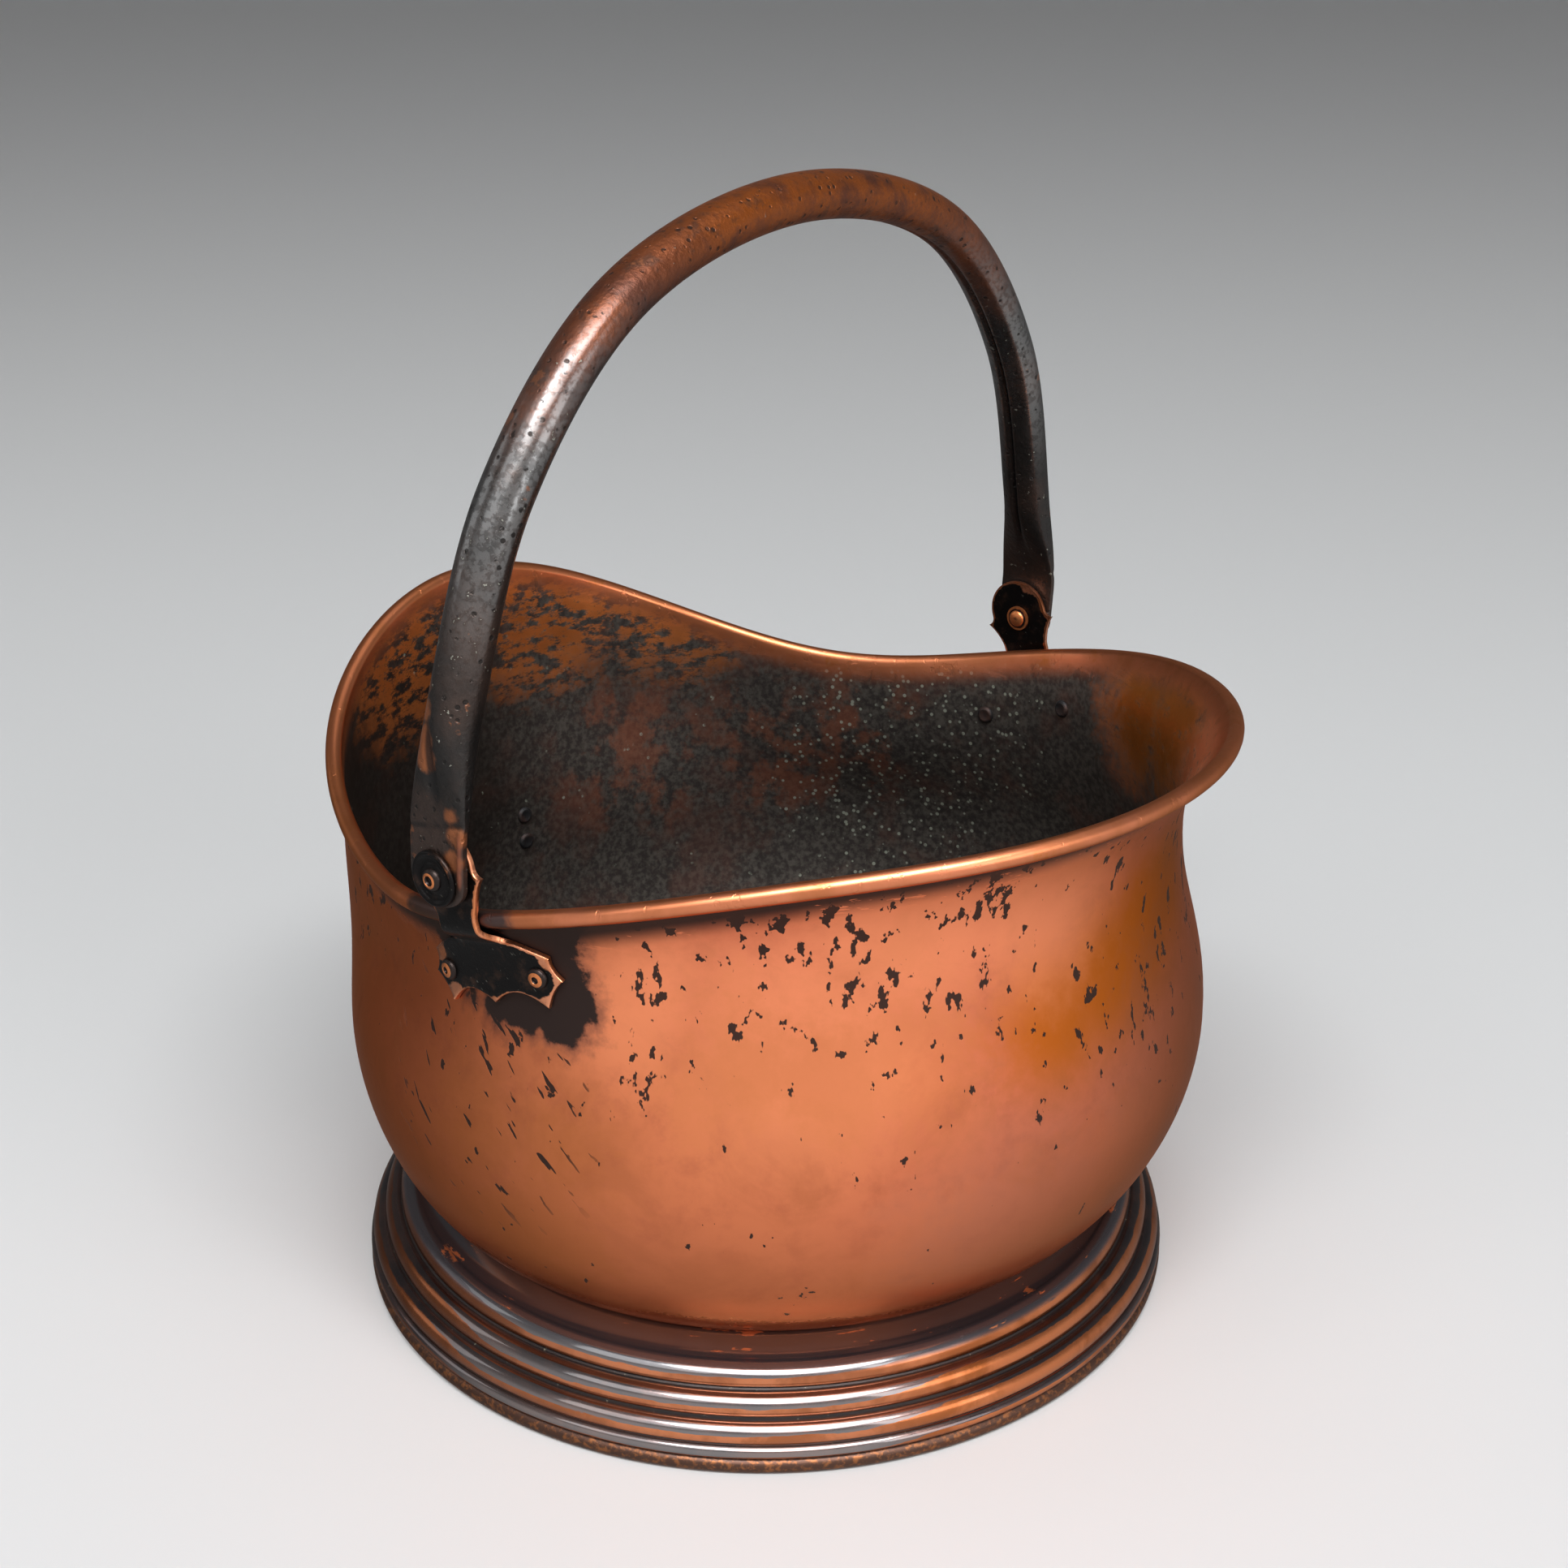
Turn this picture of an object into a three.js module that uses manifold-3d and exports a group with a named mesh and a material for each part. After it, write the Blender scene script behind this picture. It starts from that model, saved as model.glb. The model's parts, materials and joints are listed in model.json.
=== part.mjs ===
// A copper helmet coal scuttle: a round-bellied bowl that rises into a pouring lip at the front (+X)
// and a high back (-X), on a reeded ring foot. A bail of flattened copper tube swings between two
// scalloped ears, and a small fixed grip sits low on the back for tipping the coal out.
// Millimetres, +Z up, the foot stands on z = 0, the ears are on the Y axis.

import * as THREE from "three";
import { mergeVertices } from "three/addons/utils/BufferGeometryUtils.js";
import Module from "manifold-3d";

const wasm = await Module();
wasm.setup();

// ---- Driving dimensions ---------------------------------------------------------------------

const SHEET = 1.2; // copper of the bowl, the base and the foot
const GAP = 0.3; // between pieces that lie on one another
const ROUND_STEPS = 38; // facets round the bowl
const FOOT_STEPS = 34; // facets round the foot

// The rolled rim, seen from above: how far out and how high the middle of its bead lies,
// every 30 degrees from the pouring lip (0) past the ear (90) to the back (180).
const RIM_REACH = [168.5, 163.5, 157.1, 151.8, 146.2, 158.2, 158.2];
const RIM_HEIGHT = [226.2, 223.6, 211.5, 190.6, 181.6, 206.5, 230.8];

// The bowl below the rim. Three values stand for the front, the side and the back.
const SEAT_INSET = 30.6; // from the edge of the foot in to where the bowl turns in to its base
const SEAT_HEIGHT = 38;
const BELLY_REACH = [161.5, 155.5, 149.5];
const BELLY_HEIGHT = 108;
const NECK_INSET = [17.2, 5.4, 2.3]; // how far the neck lies inside the rim
const NECK_DROP = [40, 25, 40]; // and how far below it
const RIM_FLARE = [55, 76, 88]; // slope of the wall under the rim, degrees from level
const BASE_FLANGE = 9; // width of the lap between the bowl, its base and the foot

const RIM_WIRE = 1.4; // radius of the wire inside the rolled rim
const ROLL_TURN = 285; // degrees that the sheet wraps round its wire
const RIM_ROLL_STEPS = 6; // facets of the rolled rim
const FOOT_ROLL_STEPS = 5; // an odd number, so that one facet lies flat under the foot

// The foot: a spun ring of three reeds, a band and a rolled edge.
const FOOT_RADIUS = 152.6;
const FOOT_WIRE = 1.4;
const REEDS = [
  { inset: 18, height: 27.6, size: 5.2 },
  { inset: 11.4, height: 20.9, size: 4.8 },
  { inset: 6.2, height: 13.4, size: 4.6 },
];
const REED_ARC = [98, -14]; // degrees that the rounding of a reed runs through
const COVE = { inset: 5.6, rise: 0.6 }; // hollow between the first reed and the bowl
const BAND_INSET = 0.8;
const BAND_TOP = 9.6;
const BAND_FOOT = 6.9;

// The bail: a tube rolled from sheet, its ends hammered into flat pads.
const PIVOT_X = 3.4;
const PIVOT_RISE = 16.3; // of the pivots above the middle of the rim's bead beside them
const BAIL_RISE = 187; // from the pivots to the middle of the tube at the top
const BAIL_TILT = 3.4; // degrees that it stands forward of upright
const BAIL_BEND = [
  { inset: 8.3, share: 0.3 }, // how far in from the pads, and at what share of the rise
  { inset: 29, share: 0.62 },
  { inset: 77.7, share: 0.895 },
];
const BAIL_WIDTH = 18.4; // across the tube, fore and aft
const BAIL_DEPTH = 16; // through the tube, towards the bowl
const BAIL_SHEET = 1.2;
const BAIL_SEAM = 0.8; // slit left along the inside of the tube
const PAD_WIDTH = 23.6;
const PAD_LENGTH = 9.6; // from the pivot to the end of the pad
const PAD_TOP = 17; // height above the pivot where the pad starts to open into the tube
const TUBE_START = 52; // height above the pivot where the tube is full

// The ears: stamped plates, riveted to the bowl and bent out over the rolled rim.
const EAR_SHEET = 1.8;
const EAR_EYE_RADIUS = 12.6;
const EAR_EYE_RISE = 2.4; // middle of the eye above the pivot
const EAR_HEIGHT = 36.5; // from the line of the rivets to the pivot
const EAR_RIVET_SPACING = 39.8;
const EAR_NECK = 18.4; // narrowest width, where the ear crosses the rim
const EAR_BEND = 0.247; // share of the height over which the ear leaves the wall for the rim
const EAR_RETURN = 0.8; // how far the eye stands back from the bend over the rim
const EAR_LEAN = { right: 14, left: 18 }; // degrees back from upright, set by hand on each side

// Rivets
const WALL_RIVET = { shank: 2.2, head: 3.7, headHeight: 1.9, tail: 3.5, tailHeight: 1.3 };
const PIVOT_RIVET = { shank: 3, head: 3.9, headHeight: 1.6, tail: 3.9, tailHeight: 1.4 };
const WASHER_RADIUS = 9.3;
const WASHER_SHEET = 1.2;
const BURR_RADIUS = 4.9;
const BURR_HEIGHT = 1.1;
const HOLE_PLAY = 0.3; // between a shank and its hole

// The grip on the back, for tipping.
const GRIP_HEIGHT = 118; // middle of its pads
const GRIP_PAD_SPREAD = 21; // half the distance between the pads
const GRIP_RIVET_SPACING = 11.4;
const GRIP_ROD = 5.4; // radius
const GRIP_REACH = 46; // from the pads to the middle of the rod
const GRIP_SPREAD = 34; // half the width of the loop, to the middle of the rod
const GRIP_ROUND = 27; // depth of the loop's rounded outer part
const GRIP_DROP = 24; // the loop hangs this much lower than its pads
const GRIP_PAD = { width: 14, length: 24, thickness: 3 };

// ---- Small tools ----------------------------------------------------------------------------

const radians = THREE.MathUtils.degToRad;
const vec2 = (x, y) => new THREE.Vector2(x, y);
const vec3 = (x, y, z) => new THREE.Vector3(x, y, z);

// A value that changes smoothly from the front (0) to the back (180 degrees), the same on both
// sides, through stations at equal steps: a cosine series.
function around(turn, stations) {
  const last = stations.length - 1;
  let sum = 0;
  for (let k = 0; k <= last; k++) {
    let share = 0;
    stations.forEach((value, j) => {
      const end = j === 0 || j === last ? 0.5 : 1;
      share += end * value * Math.cos((Math.PI * k * j) / last);
    });
    sum += (k === 0 || k === last ? 0.5 : 1) * share * Math.cos(k * turn);
  }
  return (2 * sum) / last;
}

// The value of f at x on a line through points [x, f], in rising order of x.
function onLine(x, points) {
  let i = 1;
  while (i < points.length - 1 && points[i][0] < x) i++;
  const [x0, f0] = points[i - 1];
  const [x1, f1] = points[i];
  return f0 + ((f1 - f0) * (x - x0)) / (x1 - x0);
}

function smoothStep(x, from, to) {
  return THREE.MathUtils.smoothstep(x, from, to);
}

// Turns the faces of a closed geometry outwards, whatever way its sections were listed.
function facingOut(geometry) {
  const p = geometry.getAttribute("position");
  const index = geometry.index.array;
  const corner = (i) => vec3(p.getX(index[i]), p.getY(index[i]), p.getZ(index[i]));
  let volume = 0;
  for (let i = 0; i < index.length; i += 3) {
    volume += corner(i).dot(corner(i + 1).cross(corner(i + 2)));
  }
  if (volume < 0) {
    for (let i = 0; i < index.length; i += 3) {
      [index[i + 1], index[i + 2]] = [index[i + 2], index[i + 1]];
    }
  }
  return geometry;
}

// A closed skin over rings of points. The rings close on themselves, or the ends are capped:
// "fan" for a round end, "fold" for the end of a bent sheet, whose second half runs back along the
// first.
function skin(rings, cap) {
  const count = rings[0].length;
  const positions = rings.flat().flatMap((p) => [p.x, p.y, p.z]);
  const indices = [];
  const quad = (a, b, c, d) => indices.push(a, b, c, a, c, d);
  const spans = cap ? rings.length - 1 : rings.length;
  for (let i = 0; i < spans; i++) {
    const a = i * count;
    const b = ((i + 1) % rings.length) * count;
    for (let j = 0; j < count; j++) {
      const k = (j + 1) % count;
      quad(a + j, b + j, b + k, a + k);
    }
  }
  const end = (rings.length - 1) * count;
  if (cap === "fan") {
    for (let j = 1; j < count - 1; j++) {
      indices.push(0, j, j + 1);
      indices.push(end, end + j + 1, end + j);
    }
  }
  if (cap === "fold") {
    for (let j = 0; j < count / 2 - 1; j++) {
      const k = count - 1 - j;
      quad(j, j + 1, k - 1, k);
      quad(end + k, end + k - 1, end + j + 1, end + j);
    }
  }
  const geometry = new THREE.BufferGeometry();
  geometry.setAttribute("position", new THREE.Float32BufferAttribute(positions, 3));
  geometry.setIndex(indices);
  return facingOut(geometry);
}

// The outline of a sheet that follows a middle line: one face out, and the other back.
function sheetOutline(line, thickness) {
  const faces = [[], []];
  line.forEach((point, i) => {
    const before = line[Math.max(i - 1, 0)];
    const after = line[Math.min(i + 1, line.length - 1)];
    const come = point.clone().sub(before).normalize();
    const go = after.clone().sub(point).normalize();
    if (i === 0) come.copy(go);
    if (i === line.length - 1) go.copy(come);
    const along = come.clone().add(go).normalize();
    const mitre = thickness / 2 / along.dot(go);
    const side = vec2(along.y, -along.x).multiplyScalar(mitre);
    faces[0].push(point.clone().add(side));
    faces[1].push(point.clone().sub(side));
  });
  return [...faces[0], ...faces[1].reverse()];
}

// Points on an arc, angles in degrees.
function arc(centre, radius, from, to, steps) {
  return Array.from({ length: steps + 1 }, (_, i) => {
    const angle = radians(from + ((to - from) * i) / steps);
    return vec2(centre.x + radius * Math.cos(angle), centre.y + radius * Math.sin(angle));
  });
}

// A turned piece: its profile holds (radius, height), and its axis is Z.
function turned(profile, steps) {
  const geometry = new THREE.LatheGeometry(profile, steps).rotateX(Math.PI / 2);
  return bare(geometry);
}

// Only the positions of a geometry, with its shared corners merged.
function bare(geometry) {
  const copy = new THREE.BufferGeometry();
  copy.setAttribute("position", geometry.getAttribute("position"));
  if (geometry.index) copy.setIndex(geometry.index);
  return facingOut(mergeVertices(copy, 1e-4));
}

function solidOf(geometry) {
  const merged = bare(geometry);
  return new wasm.Manifold(
    new wasm.Mesh({
      numProp: 3,
      vertProperties: new Float32Array(merged.getAttribute("position").array),
      triVerts: new Uint32Array(merged.index.array),
    }),
  );
}

function geometryOf(solid) {
  const mesh = solid.getMesh();
  const geometry = new THREE.BufferGeometry();
  geometry.setAttribute("position", new THREE.BufferAttribute(mesh.vertProperties, 3));
  geometry.setIndex(new THREE.BufferAttribute(mesh.triVerts, 1));
  return geometry;
}

function cut(geometry, cutters) {
  return geometryOf(cutters.reduce((left, c) => left.subtract(solidOf(c)), solidOf(geometry)));
}

// A round cutter for a hole, along Z through the origin.
function drill(radius, length) {
  return new THREE.CylinderGeometry(radius, radius, length, 12).rotateX(Math.PI / 2);
}

// Mirrors a piece from the right side (-Y) to the left.
function mirrored(geometry) {
  return facingOut(bare(geometry.clone().scale(1, -1, 1)));
}

// ---- The bowl -------------------------------------------------------------------------------

// The middle of a sheet rolled round a wire in facets that clear it.
const rolledRound = (wireRadius, steps) =>
  (wireRadius + GAP + SHEET / 2) / Math.cos(radians(ROLL_TURN / steps / 2));

const seatRadius = FOOT_RADIUS - SEAT_INSET;
const rollRadius = rolledRound(RIM_WIRE, RIM_ROLL_STEPS);
const beadRadius = rollRadius + SHEET / 2;

// The middle of the rolled bead at a turn, as (radius, height).
const beadAt = (turn) => vec2(around(turn, RIM_REACH), around(turn, RIM_HEIGHT));

// The middle line of the wall at a turn, from its seat up to where the roll begins.
function wallLine(turn) {
  const bead = beadAt(turn);
  const slope = radians(around(turn, RIM_FLARE));
  const top = vec2(bead.x - rollRadius * Math.sin(slope), bead.y + rollRadius * Math.cos(slope));
  const seat = vec2(seatRadius, SEAT_HEIGHT);
  const belly = vec2(around(turn, BELLY_REACH), BELLY_HEIGHT);
  const neck = vec2(bead.x - around(turn, NECK_INSET), bead.y - around(turn, NECK_DROP));
  const up = (point, rise) => vec2(point.x, point.y + rise);
  const bowlRise = belly.y - seat.y;
  const sideRise = neck.y - belly.y;
  const flareRise = top.y - neck.y;
  const bowl = new THREE.CubicBezierCurve(
    seat,
    vec2(seat.x + 0.5 * (belly.x - seat.x), seat.y + 0.12 * bowlRise),
    up(belly, -0.45 * bowlRise),
    belly,
  );
  const side = new THREE.CubicBezierCurve(
    belly,
    up(belly, 0.4 * sideRise),
    up(neck, -0.4 * sideRise),
    neck,
  );
  const lean = 0.4 * flareRise;
  const flare = new THREE.CubicBezierCurve(
    neck,
    up(neck, lean),
    vec2(top.x - lean / Math.tan(slope), top.y - lean),
    top,
  );
  return [
    ...bowl.getPoints(5),
    ...side.getPoints(3).slice(1),
    ...flare.getPoints(4).slice(1),
  ];
}

// The radius of the wall's middle line at a turn and a height.
function wallRadius(turn, height) {
  return onLine(height, wallLine(turn).map((p) => [p.y, p.x]));
}

function bowlSection(turn) {
  const slope = around(turn, RIM_FLARE);
  const from = slope + 90;
  const roll = arc(beadAt(turn), rollRadius, from, from - ROLL_TURN, RIM_ROLL_STEPS);
  const line = [
    vec2(seatRadius - BASE_FLANGE, SEAT_HEIGHT),
    ...wallLine(turn),
    ...roll.slice(1),
  ];
  return sheetOutline(line, SHEET);
}

// A ring of section points stood up at a turn.
const stoodAt = (turn, section) =>
  section.map((p) => vec3(p.x * Math.cos(turn), p.x * Math.sin(turn), p.y));

const turns = Array.from({ length: ROUND_STEPS }, (_, i) => (2 * Math.PI * i) / ROUND_STEPS);

const wholeBowl = skin(turns.map((turn) => stoodAt(turn, bowlSection(turn))));

const rimWire = skin(
  turns.map((turn) => stoodAt(turn, arc(beadAt(turn), RIM_WIRE, 0, 300, 5))),
);

// How much closer a facet of the bowl lies to the axis than its corners do.
const facetDip = (radius) => radius * (1 - Math.cos(Math.PI / ROUND_STEPS));

// The base is a shallow dished disc that lies on the bowl's inner flange.
const baseUnder = SEAT_HEIGHT + SHEET / 2 + GAP;
const baseEdge = seatRadius - 1.5 * SHEET;
const basePlate = turned(
  [
    vec2(0, baseUnder + 4),
    vec2(60, baseUnder + 3),
    vec2(seatRadius - BASE_FLANGE - 6, baseUnder),
    vec2(baseEdge, baseUnder),
    vec2(baseEdge, baseUnder + SHEET),
    vec2(seatRadius - BASE_FLANGE - 6, baseUnder + SHEET),
    vec2(60, baseUnder + 3 + SHEET),
    vec2(0, baseUnder + 4 + SHEET),
  ],
  FOOT_STEPS,
);

// ---- The foot -------------------------------------------------------------------------------

const footRoll = rolledRound(FOOT_WIRE, FOOT_ROLL_STEPS);
const footBead = footRoll + SHEET / 2;
const footStand = FOOT_WIRE + GAP + SHEET; // from the wire's middle down to the flat of the edge
const footBeadMiddle = vec2(FOOT_RADIUS - footBead, footStand);

function footProfile() {
  const flangeHeight = SEAT_HEIGHT - SHEET - GAP;
  const half = SHEET / 2;
  const [firstReed] = REEDS;
  const firstRadius = FOOT_RADIUS - firstReed.inset;
  const band = FOOT_RADIUS - BAND_INSET - half;
  const line = [
    vec2(seatRadius - BASE_FLANGE, flangeHeight),
    vec2(seatRadius + 1, flangeHeight),
    vec2(firstRadius - COVE.inset, firstReed.height + firstReed.size + COVE.rise),
  ];
  REEDS.forEach(({ inset, height, size }) => {
    line.push(...arc(vec2(FOOT_RADIUS - inset, height), size - half, ...REED_ARC, 3));
  });
  line.push(vec2(band - 1.5, BAND_TOP + 1.5));
  line.push(vec2(band, BAND_TOP));
  line.push(vec2(band, BAND_FOOT));
  const from = ROLL_TURN / 2 - 90;
  line.push(...arc(footBeadMiddle, footRoll, from, from - ROLL_TURN, FOOT_ROLL_STEPS));
  return sheetOutline(line, SHEET);
}

const outline = footProfile();
const footRing = turned([...outline, outline[0]], FOOT_STEPS);
const wireOutline = arc(footBeadMiddle, FOOT_WIRE, 0, 360, 6);
const footWire = turned(wireOutline, FOOT_STEPS);

// ---- The ears -------------------------------------------------------------------------------

// The bead's place on the right side (-Y) for a distance along X, as turn, y and height.
function beadBeside(x) {
  let low = 0;
  let high = Math.PI;
  for (let i = 0; i < 40; i++) {
    const middle = (low + high) / 2;
    if (beadAt(middle).x * Math.cos(middle) > x) low = middle;
    else high = middle;
  }
  const bead = beadAt(low);
  return { y: bead.x * Math.sin(low), height: bead.y };
}

const pivotHeight = beadBeside(PIVOT_X).height + PIVOT_RISE;

// Distance of the wall's outer face from the XZ plane, beside a point (x, height).
function wallBeside(x, height) {
  let y = 150;
  for (let i = 0; i < 4; i++) {
    const radius = wallRadius(Math.atan2(y, x), height) + SHEET / 2;
    y = Math.sqrt(radius * radius - x * x);
  }
  return y;
}

// The ear's inner face where it stands out furthest, across the width of its neck.
const neckBeads = [-1, 0, 1, 2].map((way) => beadBeside(PIVOT_X + (way * EAR_NECK) / 2).y);
const crestInside = Math.max(...neckBeads) + beadRadius + GAP;
const eyeInside = crestInside - EAR_RETURN;

// Distance of the ear's inner face from the XZ plane: on the wall, round the bead, then upright.
function earInside(x, height) {
  const bead = beadBeside(x);
  const above = height - bead.height;
  const wall = wallBeside(x, Math.min(height, bead.height - beadRadius)) + GAP;
  const crest = bead.y + beadRadius + GAP;
  const leaves = smoothStep(above, -EAR_BEND * EAR_HEIGHT, -2);
  const upTo = THREE.MathUtils.lerp(wall, crest, leaves);
  return THREE.MathUtils.lerp(upTo, eyeInside, smoothStep(above, 1.6, 5.6));
}

// An ear's own frame: u across and v up from the middle of its rivets.
function earFrame(side) {
  const lean = radians(EAR_LEAN[side]);
  const across = vec2(Math.cos(lean), Math.sin(lean));
  const up = vec2(-across.y, across.x);
  const origin = vec2(PIVOT_X, pivotHeight).sub(up.clone().multiplyScalar(EAR_HEIGHT));
  const place = (u, v) =>
    origin.clone().add(across.clone().multiplyScalar(u)).add(up.clone().multiplyScalar(v));
  return { lean, origin, place };
}

// The stamped outline: three cusps and two arches below, scalloped sides, a narrow neck,
// then a beak on each side of the round eye.
function earOutline() {
  const neck = EAR_NECK / 2;
  const eye = vec2(0, EAR_HEIGHT + EAR_EYE_RISE);
  const half = [
    { to: [21, -10.8], by: [10.5, -0.9] }, // arch from the middle cusp to the lower cusp
    { to: [28.4, -1.6], by: [23.4, -4.6] },
    { to: [26.2, 6.6], by: [24.6, 2.6] },
    { to: [neck + 1.6, 13.4], by: [18, 11.2] }, // shoulder
    { to: [neck, 21], by: [neck, 14.6] },
    { to: [15.4, 35], by: [neck + 1.4, 30.5] }, // neck up to the beak
    { to: [EAR_EYE_RADIUS, eye.y - 1.2], by: [13, 35.6] },
  ];
  const start = [0, -9.4];
  const shape = new THREE.Shape();
  shape.moveTo(...start);
  half.forEach(({ to, by }) => shape.quadraticCurveTo(...by, ...to));
  const first = Math.asin(-1.2 / EAR_EYE_RADIUS);
  shape.absarc(eye.x, eye.y, EAR_EYE_RADIUS, first, Math.PI - first, false);
  for (let i = half.length - 1; i >= 0; i--) {
    const [x, y] = i ? half[i - 1].to : start;
    const [bx, by] = half[i].by;
    shape.quadraticCurveTo(-bx, by, -x, y);
  }
  return shape;
}

// The bent sheet that the outline is cut from, as one closed slab.
function earBlank(frame) {
  const columns = [-31, -21, -12, -4, 4, 12, 21, 31];
  const rows = [-15, -3, 6, 11, 14, 17, 19, 22, 24, 26, 55];
  const step = 0.2;
  const face = (outer) =>
    rows.map((v) =>
      columns.map((u) => {
        const { x, y: height } = frame.place(u, v);
        const y = earInside(x, height);
        const slopeX = (earInside(x + step, height) - y) / step;
        const slopeZ = (earInside(x, height + step) - y) / step;
        const out = vec3(-slopeX, 1, -slopeZ).setLength(outer ? EAR_SHEET : 0);
        return vec3(x + out.x, -(y + out.y), height + out.z);
      }),
    );
  const inner = face(false);
  const outer = face(true);
  return skin(rows.map((_, i) => [...inner[i], ...outer[i].reverse()]), "fold");
}

function earGeometry(side) {
  const frame = earFrame(side);
  const punch = new THREE.ExtrudeGeometry(earOutline(), {
    depth: 60,
    bevelEnabled: false,
    curveSegments: 5,
  })
    .rotateX(Math.PI / 2)
    .translate(0, -120, 0)
    .rotateY(-frame.lean)
    .translate(frame.origin.x, 0, frame.origin.y);
  const plate = solidOf(earBlank(frame)).intersect(solidOf(punch));
  const pivotHole = new THREE.CylinderGeometry(
    PIVOT_RIVET.shank + HOLE_PLAY,
    PIVOT_RIVET.shank + HOLE_PLAY,
    60,
    16,
  ).translate(PIVOT_X, -eyeInside, pivotHeight);
  return cut(geometryOf(plate), [pivotHole, ...earRivets(side).map((rivet) => wallHole(rivet))]);
}

// Where the two rivets of an ear sit, on the right side (-Y).
function earRivets(side) {
  const frame = earFrame(side);
  return [-1, 1].map((way) => {
    const { x, y: height } = frame.place((way * EAR_RIVET_SPACING) / 2, 0);
    const y = wallBeside(x, height);
    return { turn: -Math.atan2(y, x), height, plate: EAR_SHEET };
  });
}

// ---- Rivets through the wall ----------------------------------------------------------------

// A rivet along Z: a domed head on top, a peened tail below, and the grip between them. Its
// origin is at the lower end of the grip.
function rivetGeometry(size, grip, steps) {
  const dome = (radius, height, share) => vec2(radius * share, height * Math.sqrt(1 - share * share));
  return turned(
    [
      vec2(0, -size.tailHeight),
      vec2(size.tail * 0.7, -dome(1, size.tailHeight, 0.7).y),
      vec2(size.tail, 0),
      vec2(size.shank, 0),
      vec2(size.shank, grip),
      vec2(size.head, grip),
      vec2(size.head * 0.85, grip + dome(1, size.headHeight, 0.85).y),
      vec2(size.head * 0.5, grip + dome(1, size.headHeight, 0.5).y),
      vec2(0, grip + size.headHeight),
    ],
    steps,
  );
}

// The wall's middle at a turn and a height, and the direction square to it there.
function wallPoint(turn, height) {
  const radius = wallRadius(Math.abs(turn), height);
  return vec3(radius * Math.cos(turn), radius * Math.sin(turn), height);
}

function wallNormal(turn, height) {
  const reach = 3;
  const swing = reach / wallRadius(Math.abs(turn), height);
  const round = wallPoint(turn + swing, height).sub(wallPoint(turn - swing, height));
  const up = wallPoint(turn, height + reach).sub(wallPoint(turn, height - reach));
  return round.cross(up).normalize();
}

// Sets a piece that was made along Z square to the wall. Its origin comes this far in from the
// wall's middle.
function laidOnWall(geometry, { turn, height }, inwards) {
  const out = wallNormal(turn, height);
  const at = wallPoint(turn, height).addScaledVector(out, -inwards);
  const swing = new THREE.Quaternion().setFromUnitVectors(vec3(0, 0, 1), out);
  return geometry.clone().applyQuaternion(swing).translate(at.x, at.y, at.z);
}

const wallHole = (rivet) => laidOnWall(drill(WALL_RIVET.shank + HOLE_PLAY, 16), rivet, 0);

// A rivet that holds a plate to the outside of the wall.
function wallRivet(rivet) {
  const radius = wallRadius(Math.abs(rivet.turn), rivet.height);
  const inside = SHEET / 2 + GAP + facetDip(radius);
  const grip = inside + SHEET / 2 + GAP + rivet.plate + GAP;
  return laidOnWall(rivetGeometry(WALL_RIVET, grip, 9), rivet, inside);
}

// ---- The pivots -----------------------------------------------------------------------------

// Distances from the XZ plane, going out along a pivot: burr, ear, pad, washer, head.
const padInside = crestInside + EAR_SHEET + GAP; // the pad swings clear of the bend over the rim
const padThickness = 2 * BAIL_SHEET + 0.4;
const washerInside = padInside + padThickness + GAP;
const headInside = washerInside + WASHER_SHEET + GAP;
const burrInside = eyeInside - GAP - BURR_HEIGHT;
const tailInside = burrInside - GAP;

// Turns a piece made along Z to point out along -Y, at the right pivot.
const atPivot = (geometry, distance) =>
  geometry.clone().rotateX(Math.PI / 2).translate(PIVOT_X, -distance, pivotHeight);

const pivotRivet = atPivot(rivetGeometry(PIVOT_RIVET, headInside - tailInside, 14), tailInside);

const pivotBore = PIVOT_RIVET.shank + HOLE_PLAY;

// A dished washer with a raised ring round its edge.
const washer = atPivot(
  turned(
    [
      vec2(pivotBore, 0),
      vec2(WASHER_RADIUS, 0),
      vec2(WASHER_RADIUS, WASHER_SHEET * 0.8),
      vec2(WASHER_RADIUS - 0.9, WASHER_SHEET + 0.5),
      vec2(WASHER_RADIUS - 2, WASHER_SHEET * 0.7),
      vec2(PIVOT_RIVET.head + 1.2, WASHER_SHEET * 0.7),
      vec2(PIVOT_RIVET.head + 0.4, WASHER_SHEET),
      vec2(pivotBore, WASHER_SHEET),
      vec2(pivotBore, 0),
    ],
    18,
  ),
  washerInside,
);

const burr = atPivot(
  turned(
    [
      vec2(pivotBore, 0),
      vec2(BURR_RADIUS - 0.4, 0),
      vec2(BURR_RADIUS, 0.4),
      vec2(BURR_RADIUS, BURR_HEIGHT),
      vec2(pivotBore, BURR_HEIGHT),
      vec2(pivotBore, 0),
    ],
    12,
  ),
  burrInside,
);

// ---- The bail -------------------------------------------------------------------------------

// Rings of section points set along a path. Each frame holds the place, the direction across the
// section and the direction out of it.
const ringsAlong = (frames, sectionAt) =>
  frames.map((frame, i) =>
    sectionAt(frame, i).map(([a, b]) =>
      frame.at.clone().addScaledVector(frame.across, a).addScaledVector(frame.out, b),
    ),
  );

// A point on a section that is an ellipse when squareness is 0 and nearly a box at 1.
function sectionPoint(angle, halfWidth, halfDepth, squareness) {
  const power = 1 - 0.7 * squareness;
  const c = Math.cos(angle);
  const s = Math.sin(angle);
  return [
    halfWidth * Math.sign(c) * Math.abs(c) ** power,
    halfDepth * Math.sign(s) * Math.abs(s) ** power,
  ];
}

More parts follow.
